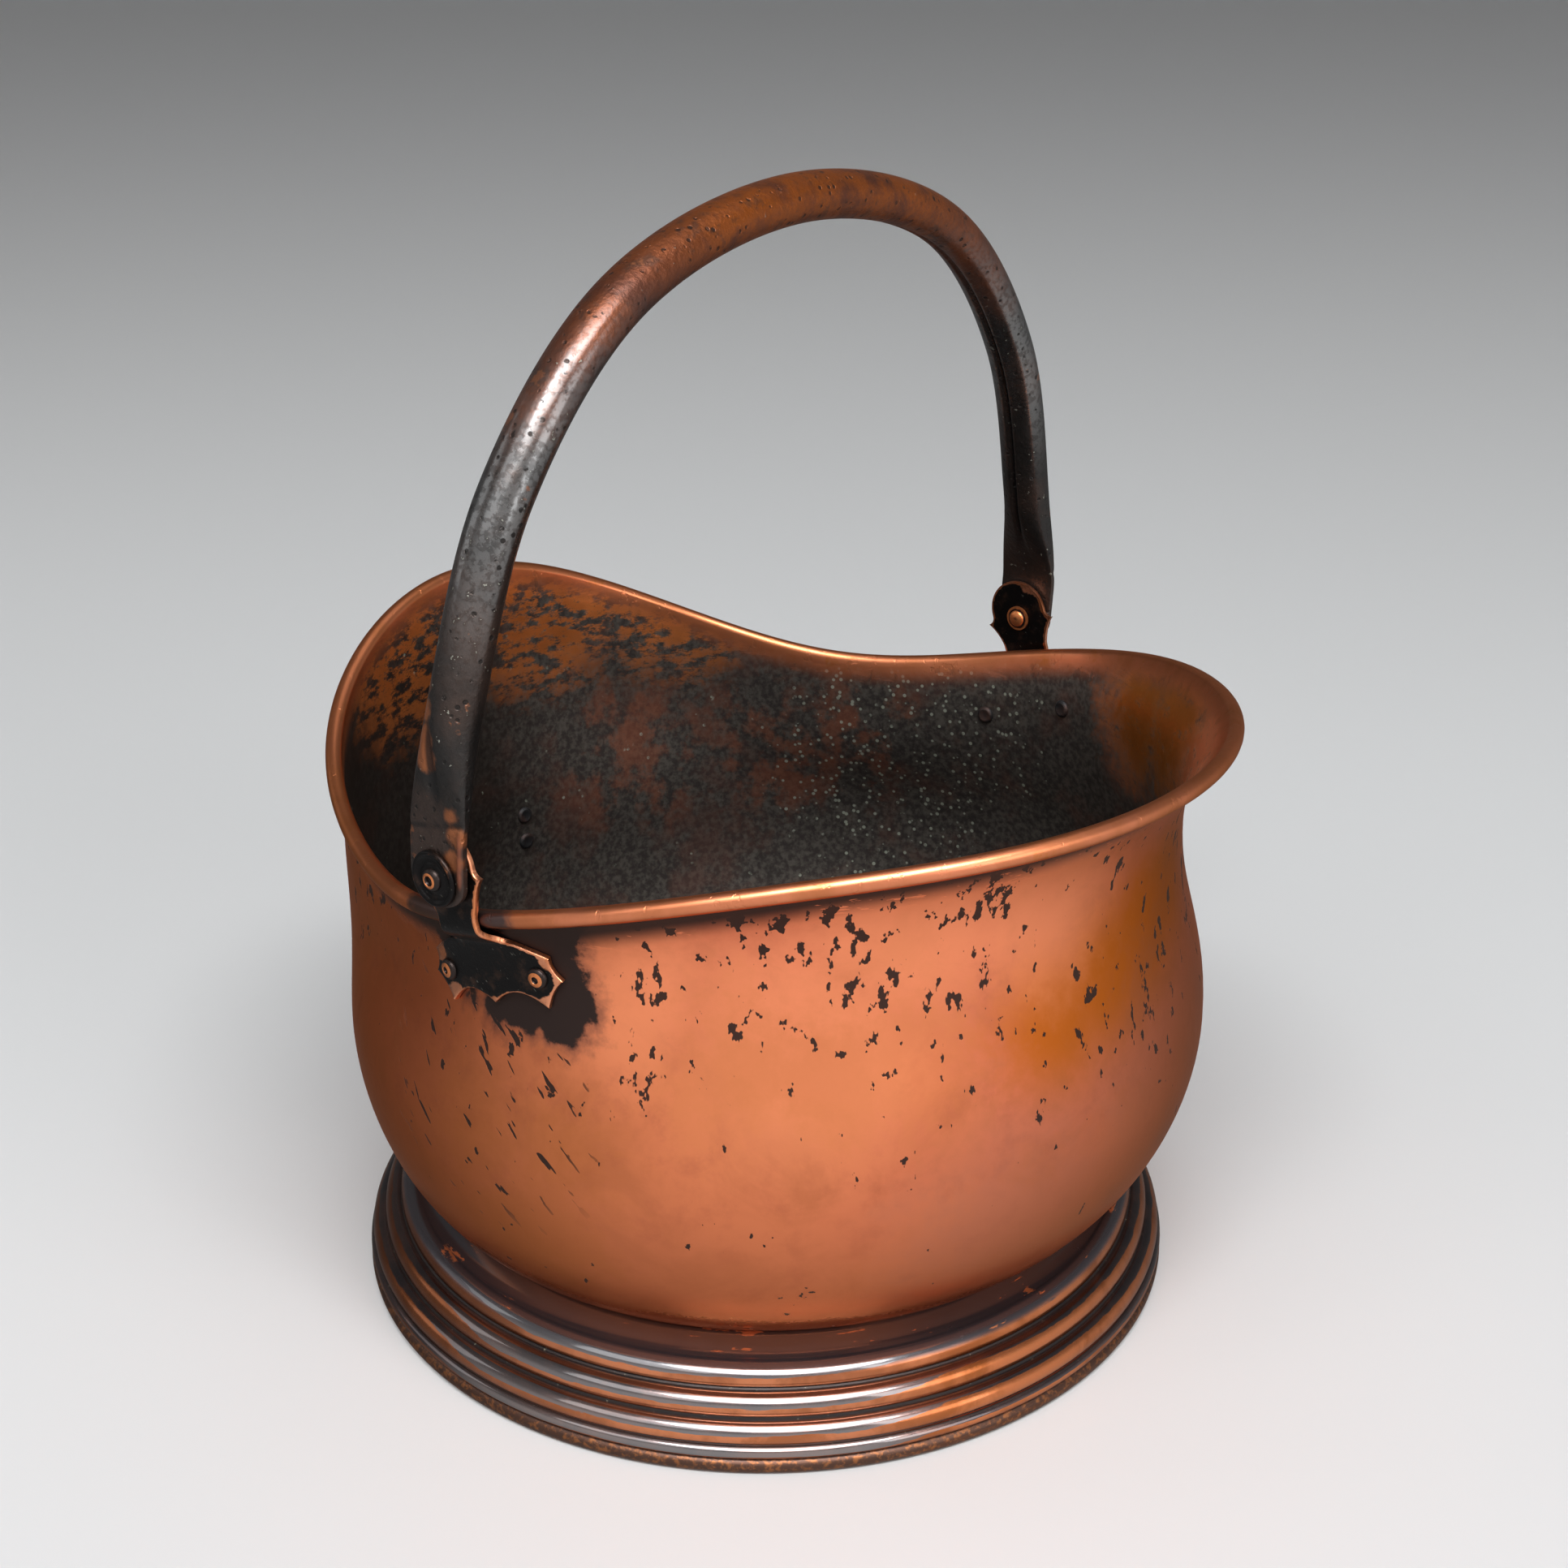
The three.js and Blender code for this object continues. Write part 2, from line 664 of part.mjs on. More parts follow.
// The tube's section at a height above the pivot: a rolled sheet whose slit faces the bowl, and
// which is hammered flat towards the pivot.
function bailSection(height) {
  const flat = 1 - smoothStep(height, PAD_TOP, TUBE_START);
  const endShare = THREE.MathUtils.clamp(-height / PAD_LENGTH, 0, 0.96);
  const width = THREE.MathUtils.lerp(BAIL_WIDTH, PAD_WIDTH, flat) * Math.sqrt(1 - endShare ** 2);
  const depth = THREE.MathUtils.lerp(BAIL_DEPTH, padThickness, flat);
  const steps = 10;
  const slit = Math.asin(BAIL_SEAM / BAIL_WIDTH);
  const ring = (halfWidth, halfDepth) =>
    Array.from({ length: steps + 1 }, (_, i) => {
      const angle = -Math.PI / 2 + slit + ((2 * Math.PI - 2 * slit) * i) / steps;
      const [a, b] = sectionPoint(angle, halfWidth, halfDepth, flat);
      return i === 0 || i === steps ? [Math.sign(a) * (BAIL_SEAM / 2), b] : [a, b];
    });
  const outside = ring(width / 2, depth / 2);
  const inside = ring(width / 2 - BAIL_SHEET, depth / 2 - BAIL_SHEET).reverse();
  return [...outside, ...inside];
}

function bailGeometry() {
  const padMiddle = padInside + padThickness / 2;
  const half = [
    [padMiddle, -PAD_LENGTH * 0.96],
    [padMiddle, 0],
    [padMiddle, 0.65 * PAD_TOP],
    [padMiddle - 0.2, PAD_TOP],
    ...BAIL_BEND.map(({ inset, share }) => [padMiddle - inset, share * BAIL_RISE]),
  ];
  const right = half.map(([span, height]) => vec3(0, -span, height));
  const left = half.map(([span, height]) => vec3(0, span, height)).reverse();
  const points = [...right, vec3(0, 0, BAIL_RISE), ...left];
  const path = new THREE.CatmullRomCurve3(points, false, "centripetal");
  const marks = [-0.96, -0.8, -0.5, -0.1].map((share) => share * PAD_LENGTH);
  const heights = [...marks, 9, PAD_TOP, 24, 31, 38, 45, TUBE_START];
  const length = path.getLength();
  const start = PAD_LENGTH * 0.96;
  const ends = heights.map((height) => (height + start) / length);
  const middle = Array.from({ length: 10 }, (_, i) => i);
  const first = ends[ends.length - 1];
  const stations = [
    ...ends,
    ...middle.slice(1).map((i) => first + ((0.5 - first) * i) / 9),
  ];
  const all = [...stations, ...stations.slice(0, -1).map((s) => 1 - s).reverse()];
  const frames = all.map((s) => {
    const at = path.getPointAt(s);
    const along = path.getTangentAt(s);
    const across = vec3(1, 0, 0);
    return { at, across, out: vec3().crossVectors(across, along) };
  });
  const rings = ringsAlong(frames, (frame) => bailSection(frame.at.z));
  const bore = new THREE.CylinderGeometry(pivotBore, pivotBore, 400, 16);
  return cut(skin(rings, "fold"), [bore]);
}

// ---- The grip on the back -------------------------------------------------------------------

const gripTurn = Math.PI - Math.asin(GRIP_PAD_SPREAD / wallRadius(Math.PI, GRIP_HEIGHT));

const gripRivets = [-1, 1].flatMap((side) =>
  [-1, 1].map((way) => ({
    turn: side * gripTurn,
    height: GRIP_HEIGHT + (way * GRIP_RIVET_SPACING) / 2,
    plate: GRIP_PAD.thickness,
  })),
);

// One rod bent into a loop, with its ends flattened on the bowl. The frames of one half are carried
// along the path without twist, and the other half mirrors them.
function gripGeometry() {
  const stand = SHEET / 2 + GAP + GRIP_PAD.thickness / 2;
  const out = wallNormal(-gripTurn, GRIP_HEIGHT);
  const onPad = (height) => wallPoint(-gripTurn, height).addScaledVector(out, stand);
  const pad = onPad(GRIP_HEIGHT);
  const top = GRIP_PAD.length / 2;
  const loopHeight = GRIP_HEIGHT - GRIP_DROP;
  const loop = [0, 34, 64, 90, 116].map((degrees) => {
    const angle = radians(degrees);
    const x = pad.x - GRIP_REACH + GRIP_ROUND * (1 - Math.sin(angle));
    return vec3(x, -GRIP_SPREAD * Math.cos(angle), loopHeight);
  });
  const path = new THREE.CatmullRomCurve3(
    [
      onPad(GRIP_HEIGHT + top),
      pad,
      onPad(GRIP_HEIGHT - 0.8 * top),
      onPad(GRIP_HEIGHT - 1.15 * top).addScaledVector(out, 1.4),
      vec3(pad.x - 8, -GRIP_PAD_SPREAD - 6, loopHeight + 4),
      ...loop,
    ],
    false,
    "centripetal",
  );
  const half = [];
  const steps = 60;
  let side = out.clone();
  for (let i = 0; i <= steps; i++) {
    const at = path.getPointAt(i / steps);
    const along = path.getTangentAt(i / steps);
    side = side.clone().addScaledVector(along, -side.dot(along)).normalize();
    if (at.y > -0.5) break;
    half.push({ at, out: side, across: vec3().crossVectors(along, side) });
  }
  const kept = half.filter((_, i) => i % 3 === 0);
  const sectionAt = (frame, i) => {
    const end = i < kept.length ? i : 2 * kept.length - 1 - i;
    const run = kept[end].at.distanceTo(kept[0].at);
    const flat = 1 - smoothStep(run, GRIP_PAD.length - 2, GRIP_PAD.length + 18);
    const round = Math.min(1, 0.55 + run / 12);
    const halfWidth = THREE.MathUtils.lerp(GRIP_ROD, GRIP_PAD.width / 2, flat) * round;
    const halfDepth = THREE.MathUtils.lerp(GRIP_ROD, GRIP_PAD.thickness / 2, flat);
    return Array.from({ length: 10 }, (_, j) =>
      sectionPoint((Math.PI * (2 * j + 1)) / 10, halfWidth, halfDepth, flat),
    );
  };
  const other = kept
    .map(({ at, out: away, across }) => ({
      at: at.clone().setY(-at.y),
      out: away.clone().setY(-away.y),
      across: across.clone().setY(-across.y),
    }))
    .reverse();
  const rings = ringsAlong([...kept, ...other], sectionAt);
  return cut(skin(rings, "fan"), gripRivets.map((rivet) => wallHole(rivet)));
}

// ---- Materials ------------------------------------------------------------------------------

const metal = (color, roughness, metalness) =>
  new THREE.MeshStandardMaterial({ color, roughness, metalness });

const wornCopper = metal(0xc4704a, 0.38, 0.9);
const darkCopper = metal(0x7a4630, 0.42, 0.85);
const blackenedCopper = metal(0x2b2422, 0.5, 0.75);
const brownCopper = metal(0x4a2c22, 0.36, 0.85);
const wire = metal(0x5b5652, 0.55, 0.9);

// ---- Assembly -------------------------------------------------------------------------------

const scuttle = new THREE.Group();

function add(name, geometry, material, parent = scuttle) {
  const mesh = new THREE.Mesh(geometry.index ? geometry.toNonIndexed() : geometry, material);
  mesh.geometry.computeVertexNormals();
  mesh.name = name;
  parent.add(mesh);
  return mesh;
}

const earSides = ["right", "left"];
const seen = (side, geometry) => (side === "left" ? mirrored(geometry) : geometry);
const earHoles = earSides.flatMap((side) =>
  earRivets(side).map((rivet) => seen(side, wallHole(rivet))),
);
const gripHoles = gripRivets.map((rivet) => wallHole(rivet));

add("bowl", cut(wholeBowl, [...earHoles, ...gripHoles]), wornCopper);
add("rim_wire", rimWire, wire);
add("base_plate", basePlate, blackenedCopper);
add("foot_ring", footRing, darkCopper);
add("foot_wire", footWire, wire);

earSides.forEach((side) => {
  add(`${side}_ear`, seen(side, earGeometry(side)), blackenedCopper);
  earRivets(side).forEach((rivet, i) => {
    const place = ["rear", "front"][i];
    add(`${side}_ear_${place}_rivet`, seen(side, wallRivet(rivet)), darkCopper);
  });
  add(`${side}_pivot_rivet`, seen(side, pivotRivet), darkCopper);
  add(`${side}_pivot_washer`, seen(side, washer), blackenedCopper);
  add(`${side}_pivot_burr`, seen(side, burr), darkCopper);
});

const bailFrame = new THREE.Group();
bailFrame.position.set(PIVOT_X, 0, pivotHeight);
bailFrame.rotation.y = radians(BAIL_TILT);
scuttle.add(bailFrame);
add("bail_handle", bailGeometry(), brownCopper, bailFrame);

add("rear_grip", gripGeometry(), blackenedCopper);
gripRivets.forEach((rivet, i) => {
  const side = i < 2 ? "right" : "left";
  const place = i % 2 ? "upper" : "lower";
  add(`rear_grip_${side}_${place}_rivet`, wallRivet(rivet), darkCopper);
});

// The origin is under the middle of the whole object, on the floor.
const box = new THREE.Box3().setFromObject(scuttle);
const middle = box.getCenter(vec3());
scuttle.children.forEach((child) => {
  child.position.x -= middle.x;
  child.position.y -= middle.y;
  child.position.z -= box.min.z;
});

export default scuttle;
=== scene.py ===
"""The looks of an old copper coal scuttle, laid over its fixed frame of solids.

Blender works in metres. Sizes here are millimetres of the real piece, scaled as a mesh is made.
"""

import functools
import json
import math

import bmesh
import bpy
import numpy as np
from mathutils import Matrix, Quaternion, Vector
from mathutils.geometry import delaunay_2d_cdt


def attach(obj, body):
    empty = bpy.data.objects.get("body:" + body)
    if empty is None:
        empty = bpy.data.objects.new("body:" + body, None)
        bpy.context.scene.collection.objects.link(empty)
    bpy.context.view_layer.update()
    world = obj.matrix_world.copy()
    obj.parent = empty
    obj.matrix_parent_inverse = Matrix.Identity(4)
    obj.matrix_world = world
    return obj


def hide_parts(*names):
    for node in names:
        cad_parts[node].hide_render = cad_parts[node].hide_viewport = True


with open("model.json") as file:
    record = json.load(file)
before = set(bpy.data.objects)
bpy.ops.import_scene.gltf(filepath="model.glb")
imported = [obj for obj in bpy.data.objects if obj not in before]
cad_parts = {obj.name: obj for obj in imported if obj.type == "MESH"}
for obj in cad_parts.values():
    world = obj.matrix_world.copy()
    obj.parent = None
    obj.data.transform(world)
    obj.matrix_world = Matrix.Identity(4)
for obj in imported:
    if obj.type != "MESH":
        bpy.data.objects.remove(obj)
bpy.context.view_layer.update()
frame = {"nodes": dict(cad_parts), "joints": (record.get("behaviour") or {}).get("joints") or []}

# ---- The view ----
# A camera 0.88 m from the scuttle, a little above the top of its bail, looking down on the near
# ear from the pouring lip's side.
PIVOT = np.array((3.4, 0, 207.75))  # middle of the bail's pivots on the drawing
ORIGIN = np.array(frame["joints"][0]["pos_m"]) * 1000 - PIVOT  # the bowl's axis, in the frame

CAMERA_PLACE = (499.5, -592.93, 517.0)
LOOKED_AT = (-17.93, 32.58, 169.44)
FOCAL = 2878.11 / 1932  # in widths of the picture
SENSOR = 36


def placed(points):
    """Points of the drawing in the frame's metres."""
    return (np.asarray(points, float) + ORIGIN) / 1000


def linked(name, data):
    """A new object in the scene."""
    made = bpy.data.objects.new(name, data)
    bpy.context.scene.collection.objects.link(made)
    return made


def aim(seer, place, target):
    """Puts a camera or a lamp in its place, facing a target."""
    seer.location = Vector(place)
    seer.rotation_euler = (Vector(target) - seer.location).to_track_quat("-Z", "Y").to_euler()


view = bpy.data.cameras.new("view")
view.sensor_width = SENSOR
view.lens = SENSOR * FOCAL
camera = linked("camera", view)
bpy.context.scene.camera = camera
aim(camera, placed(CAMERA_PLACE), placed(LOOKED_AT))

# ---- The bowl ----
# Raised from one sheet of copper 1.2 mm thick: round at its seat, it swells to a belly and flares
# into a pouring lip in front (+X) and a high back. Its edge is rolled outwards over an iron wire.
SHEET = 1.2
CLEAR = 0.3  # between pieces that lie on one another
SEAT = (122, 38)
BELLY_REACH = (161.5, 155.5, 149.5)  # front, side, back
BELLY_HEIGHT = 108
NECK_INSET = (17.2, 5.4, 2.3)
NECK_DROP = (40, 25, 40)
RIM_FLARE = (55, 76, 88)
RIM_REACH = (168.5, 163.5, 157.1, 151.8, 146.2, 158.2, 158.2)  # every 30 degrees from the lip
RIM_HEIGHT = (226.2, 223.6, 211.5, 190.6, 181.6, 206.5, 230.8)
ROLL_RADIUS = 2.4  # to the middle of the sheet, round the wire
BEAD_RADIUS = ROLL_RADIUS + SHEET / 2
ROLL_TURN = 285
BOWL_FLANGE = 9
FLANGE_BEND = 4  # in from the seat, where the flange starts to bend up
WALL_STEPS = (26, 14, 14)  # up to the belly, the neck and the roll
SEAT_EASE = (0.5, 0.12)  # how far the wall still runs out and up as it leaves the seat
BELLY_EASE = 0.45
SIDE_EASE = 0.4
BOWL_STEPS = 288
ROLL_STEPS = 22
BEAD_FADE = 3  # points of the roll over which the lining's finish ends
RIM_FADE = 9  # depth below the rim over which the bead's finish reaches into the bowl


def around(turn, stations):
    """A value that runs smoothly from the lip (turn 0) to the back, through even stations."""
    last = len(stations) - 1
    ends = [0.5 if k in (0, last) else 1 for k in range(last + 1)]
    total = 0
    for k, end in enumerate(ends):
        waves = (math.cos(math.pi * k * j / last) for j in range(last + 1))
        share = sum(e * s * wave for e, s, wave in zip(ends, stations, waves))
        total = total + end * share * np.cos(k * turn)
    return 2 * total / last


def bend(a, b, c, d, steps):
    """Points on a cubic curve."""
    t = np.linspace(0, 1, steps + 1)[:, None]
    a, b, c, d = (np.array(p, float) for p in (a, b, c, d))
    return (1 - t) ** 3 * a + 3 * (1 - t) ** 2 * t * b + 3 * (1 - t) * t**2 * c + t**3 * d


def arc(centre, radius, start, end, steps):
    """Points on a round, between two angles in degrees."""
    angles = np.radians(np.linspace(start, end, steps + 1))
    return np.stack([centre[0] + radius * np.cos(angles), centre[1] + radius * np.sin(angles)], 1)


def wall_line(turn):
    """The middle of the wall's sheet at a turn: seat, belly, neck, and up to the roll."""
    slope = math.radians(around(turn, RIM_FLARE))
    rim = np.array((around(turn, RIM_REACH), around(turn, RIM_HEIGHT)))
    top = rim + ROLL_RADIUS * np.array((-math.sin(slope), math.cos(slope)))
    belly = np.array((around(turn, BELLY_REACH), BELLY_HEIGHT))
    neck = rim - np.array((around(turn, NECK_INSET), around(turn, NECK_DROP)))
    start = SEAT + SEAT_EASE * (belly - SEAT)
    rise = (0, BELLY_EASE * (belly[1] - SEAT[1]))
    side = (0, SIDE_EASE * (neck[1] - belly[1]))
    lean = SIDE_EASE * (top[1] - neck[1])
    flare = (top[0] - lean / math.tan(slope), top[1] - lean)
    lower = bend(SEAT, start, belly - rise, belly, WALL_STEPS[0])
    middle = bend(belly, belly + side, neck - side, neck, WALL_STEPS[1])
    upper = bend(neck, neck + (0, lean), flare, top, WALL_STEPS[2])
    return np.concatenate([lower, middle[1:], upper[1:]])


def offset(line, distance):
    """A line of (radius, height) points moved to its right."""
    run = np.gradient(line, axis=0)
    run /= np.linalg.norm(run, axis=1)[:, None]
    return line + distance * np.stack([run[:, 1], -run[:, 0]], 1)


def mesh_of(name, points, faces, marks):
    """A mesh in metres whose points carry numbers for a finish or a tree to read."""
    mesh = bpy.data.meshes.new(name)
    mesh.from_pydata(np.asarray(points, float).tolist(), [], faces)
    for key, values in marks.items():
        values = np.asarray(values, np.float32)
        kind, field = ("FLOAT", "value") if values.ndim == 1 else ("FLOAT_VECTOR", "vector")
        mesh.attributes.new(key, kind, "POINT").data.foreach_set(field, values.ravel())
    return mesh


def piece_of(name, points, faces, finish, marks, sharp=40):
    """A smooth-shaded piece from points on the drawing, with its faces turned outwards."""
    return finished(linked(name, mesh_of(name, placed(points), faces, marks)), finish, sharp)


def finished(made, finish, sharp):
    """Turns a piece's faces outwards, and gives it its shading and its finish."""
    shape = bmesh.new()
    shape.from_mesh(made.data)
    if shape.calc_volume(signed=True) < 0:
        bmesh.ops.reverse_faces(shape, faces=shape.faces)
    shape.to_mesh(made.data)
    shape.free()
    made.data.shade_smooth()
    made.data.set_sharp_from_angle(angle=math.radians(sharp))
    made.data.materials.clear()
    made.data.materials.append(finish)
    return made


def grid_faces(rows, columns, closed=False):
    """Four-cornered faces over closed rows of points; the last row may join the first."""
    faces = []
    for i in range(rows if closed else rows - 1):
        a = i * columns
        b = (i + 1) % rows * columns
        for j in range(columns):
            k = (j + 1) % columns
            faces.append((a + j, b + j, b + k, a + k))
    return faces


class Signal:
    """A socket in a node tree. Sums, products and steps of signals add the nodes for them."""

    def __init__(self, socket):
        self.socket = socket

    def made_by(self, node, *others):
        """What a node makes of this signal and others."""
        for place, value in zip(node.inputs, (self, *others)):
            connect(place, value)
        return Signal(node.outputs[0])

    def maths(self, operation, *others):
        node = self.socket.id_data.nodes.new("ShaderNodeMath")
        node.operation = operation
        return self.made_by(node, *others)

    def step(self, low, high):
        """0 below low, 1 above high, and smooth between."""
        node = self.socket.id_data.nodes.new("ShaderNodeMapRange")
        node.interpolation_type = "SMOOTHSTEP"
        return self.made_by(node, low, high)

    def __rsub__(self, other):
        return self * -1 + other

    def __floordiv__(self, other):
        return (self / other).maths("FLOOR")

    __add__ = __radd__ = functools.partialmethod(maths, "ADD")
    __mul__ = __rmul__ = functools.partialmethod(maths, "MULTIPLY")
    __sub__ = functools.partialmethod(maths, "SUBTRACT")
    __truediv__ = functools.partialmethod(maths, "DIVIDE")
    __mod__ = functools.partialmethod(maths, "FLOORED_MODULO")
    __or__ = functools.partialmethod(maths, "MAXIMUM")


def connect(place, value):
    """Gives a node's input a link or a fixed value."""
    if isinstance(value, Signal):
        place.id_data.links.new(value.socket, place)
    else:
        place.default_value = value


def add_node(tree, kind, settings=None, sockets=None, output=0):
    """Any node: its settings first, then the values or links of its sockets."""
    node = tree.nodes.new(kind)
    for key, value in (settings or {}).items():
        setattr(node, key, value)
    for key, value in (sockets or {}).items():
        connect(node.inputs[key], value)
    return Signal(node.outputs[output])


class Finish:
    """A metal surface: a Principled shader whose colour, roughness and bump are built up."""

    def __init__(self, name, constants):
        self.material = bpy.data.materials.new(name)
        self.material.use_nodes = True
        self.node = functools.partial(add_node, self.material.node_tree)
        self.shader = self.material.node_tree.nodes["Principled BSDF"]
        for key, value in constants.items():
            self.shader.inputs[key].default_value = value
        self.place = self.node("ShaderNodeTexCoord", output="Object")

    def along(self, axis):
        """The place along X (0), Y (1) or Z (2), in metres."""
        return self.node("ShaderNodeSeparateXYZ", None, {"Vector": self.place}, axis)

    def stretched(self, lengths, turn=(0, 0, 0)):
        """The place counted in these lengths (mm) along axes that are turned by these angles."""
        sizes = tuple(length / 1000 for length in lengths)
        values = {"Vector": self.place, "Scale": sizes, "Rotation": turn}
        return self.node("ShaderNodeMapping", {"vector_type": "TEXTURE"}, values)

    def cloud(self, scale, detail, roughness, place=None, warp=0):
        """Noise round one half, its patches smaller the larger the scale."""
        values = {"Vector": place or self.place, "Scale": scale, "Detail": detail}
        values |= {"Roughness": roughness, "Distortion": warp}
        return self.node("ShaderNodeTexNoise", None, values)

    def dots(self, scale, inner, outer):
        """Scattered dots: 1 in the middle of each cell, 0 towards its edge."""
        values = {"Vector": self.place, "Scale": scale}
        return 1 - self.node("ShaderNodeTexVoronoi", None, values).step(inner, outer)

    def near(self, point, radius, blur, ragged=0):
        """1 within a radius of a point on the drawing, fading out over blur; ragged moves it."""
        ends = {0: self.place, 1: placed(point)}
        away = self.node("ShaderNodeVectorMath", {"operation": "DISTANCE"}, ends, "Value")
        return 1 - (away + ragged).step(radius / 1000, (radius + blur) / 1000)

    def spots(self, points, blur, ragged=0):
        """1 within any of several spots (x, y, z, radius) on the drawing."""
        spots = (self.near(spot[:3], spot[3], blur, ragged) for spot in points)
        return functools.reduce(Signal.__or__, spots)

    def attribute(self, name):
        return self.node("ShaderNodeAttribute", {"attribute_name": name}, output="Fac")

    def mix(self, factor, first, second):
        """The first colour where the factor is 0, the second where it is 1."""
        first, second = (c if isinstance(c, Signal) else (*c, 1) for c in (first, second))
        sockets = {0: factor, 6: first, 7: second}
        return self.node("ShaderNodeMix", {"data_type": "RGBA"}, sockets, 2)

    def layers(self, colour, *covers):
        """A colour with others laid over it in turn, each given as (mask, colour)."""
        for mask, cover in covers:
            colour = self.mix(mask, colour, cover)
        return colour

    def bump(self, height, strength, distance, below=None):
        values = {"Height": height, "Strength": strength, "Distance": distance}
        if below:
            values["Normal"] = below
        return self.node("ShaderNodeBump", None, values)

    def done(self, **inputs):
        """Connects the shader's inputs and hands over the material."""
        for key, value in inputs.items():
            connect(self.shader.inputs[key.replace("_", " ").title()], value)
        return self.material


OXIDE = (0.01, 0.01, 0.011)


def bowl_copper():
    """Satin copper outside with brown clouds and black oxide, coal-black inside with worn metal."""
    edge_colour = {"Specular IOR Level": 0.25, "Specular Tint": (1.0, 0.7, 0.52, 1)}
    copper = Finish("worn_copper", edge_colour)
    lining = copper.attribute("lining")
    bead = copper.attribute("bead")
    below = copper.attribute("below")
    outer = 1 - lining
    ahead = copper.along(0)
    height = copper.along(2)
    broad = copper.cloud(8, 3, 0.5)
    clouds = copper.cloud(30, 6, 0.62, warp=0.5)
    patchy = copper.cloud(75, 5, 0.65)
    fine = copper.cloud(210, 4, 0.6)
    ragged = (fine - 0.5) * 0.016 + (clouds - 0.5) * 0.03

    # The outside's colour: rose in front, browner low down and towards the back, clouded, with a
    # golden band below the lip and with dusky and tan places, and bright places that are painted
    # light.
    backwards = 1 - (ahead + ragged).step(-0.1, 0.1)
    low = 1 - height.step(0.08, 0.15)
    golden = [(155, 34, 178, 9), (153, 12, 170, 12), (151, -10, 163, 12), (148, -34, 157, 9)]
    # Painted light: brighter copper for a broad highlight on the belly's near side and for the lit
    # neck below the bead.
    bright = [(104, -108, 160, 20), (124, -82, 196, 14), (146, -40, 197, 10), (62, -140, 176, 8)]
    dusky = [(150, 24, 108, 24), (140, -44, 88, 16)]
    tan = [(130, -80, 151, 5), (112, -104, 149, 6), (92, -120, 152, 5), (28, -150, 84, 8)]
    tan += [(8, -156, 117, 4), (42, -151, 120, 5)]
    outside = copper.layers(
        copper.mix(broad.step(0.35, 0.65), (0.58, 0.155, 0.08), (0.62, 0.185, 0.08)),
        (backwards * 0.7, (0.5, 0.13, 0.042)),
        (clouds.step(0.46, 0.72) * 0.6, (0.38, 0.115, 0.045)),
        (patchy.step(0.48, 0.75) * 0.5, (0.36, 0.095, 0.05)),
        (copper.spots(golden, 30, ragged) * 0.9, (0.46, 0.108, 0.007)),
        (low * 0.6, (0.44, 0.125, 0.055)),
        (copper.spots(bright, 38, ragged) * 0.6, (0.86, 0.28, 0.13)),
        (copper.spots(dusky, 50, ragged * 2) * 0.45, (0.36, 0.13, 0.085)),
        (copper.spots(tan, 34, ragged * 2) * (0.2 + clouds * 0.4), (0.42, 0.13, 0.035)),
    )

    # Black oxide: flecks in the upper half, slanting streaks below the near ear, a ragged line
    # under the bead, and the dark patch that polishing has left round the ear.
    often = height.step(0.095, 0.178) * 0.125 + ahead.step(0.02, 0.12) * 0.02
    blots = copper.cloud(1, 3, 0.6, copper.stretched((5, 5, 8.5), (0, 0, 0.4)))
    thick = copper.cloud(1, 2, 0.5, copper.stretched((26, 26, 40)))
    flecks = (blots + often + (thick - 0.5) * 0.36).step(0.74, 0.765)
    slant = copper.stretched((13, 13, 3.2), (0, math.radians(45), 0))
    streaks = copper.cloud(1, 2, 0.5, slant).step(0.655, 0.67)
    streaks = streaks * copper.near((8, -152, 132), 34, 26)
    round_ear = [(37, -145, 180, 11), (40, -144, 170, 9), (38, -145, 162, 7), (26, -147, 161, 5)]
    round_ear += [(34, -146, 192, 14), (14, -149, 162, 5), (2, -151, 162, 3), (22, -148, 172, 15)]
    round_ear += [(-8, -151, 184, 12), (-22, -145, 186, 8)]
    stained = copper.spots(round_ear, 9, ragged * 0.8)
    under_bead = (1 - below.step(0.007, 0.016)) * (1 - bead)
    flaked = copper.cloud(1, 4, 0.65, copper.stretched((16, 16, 3)))
    thicker = copper.spots([(72, -136, 209, 12), (98, -118, 209, 8)], 10) * 0.05
    line = under_bead * (flaked + under_bead * 0.14 + often + thicker).step(0.6, 0.64)
    black = flecks | streaks | copper.spots(round_ear, 2.5, ragged * 0.55) | line

    # The bead: rubbed bright, golden in places, and dull purple-brown on both sides of the ear.
    rubbed = copper.layers(
        copper.mix(clouds.step(0.35, 0.7), (0.6, 0.2, 0.1), (0.44, 0.145, 0.06)),
        (patchy.step(0.6, 0.72) * 0.6, (0.42, 0.13, 0.02)),
        (backwards * 0.3, (0.4, 0.13, 0.035)),
        (copper.near((3, -155, 191), 24, 9, ragged * 0.9), (0.1, 0.066, 0.062)),
    )
    stain = (0.16, 0.062, 0.045)
    outside = copper.layers(outside, (stained * 0.75, stain), (black * 0.96, OXIDE), (bead, rubbed))

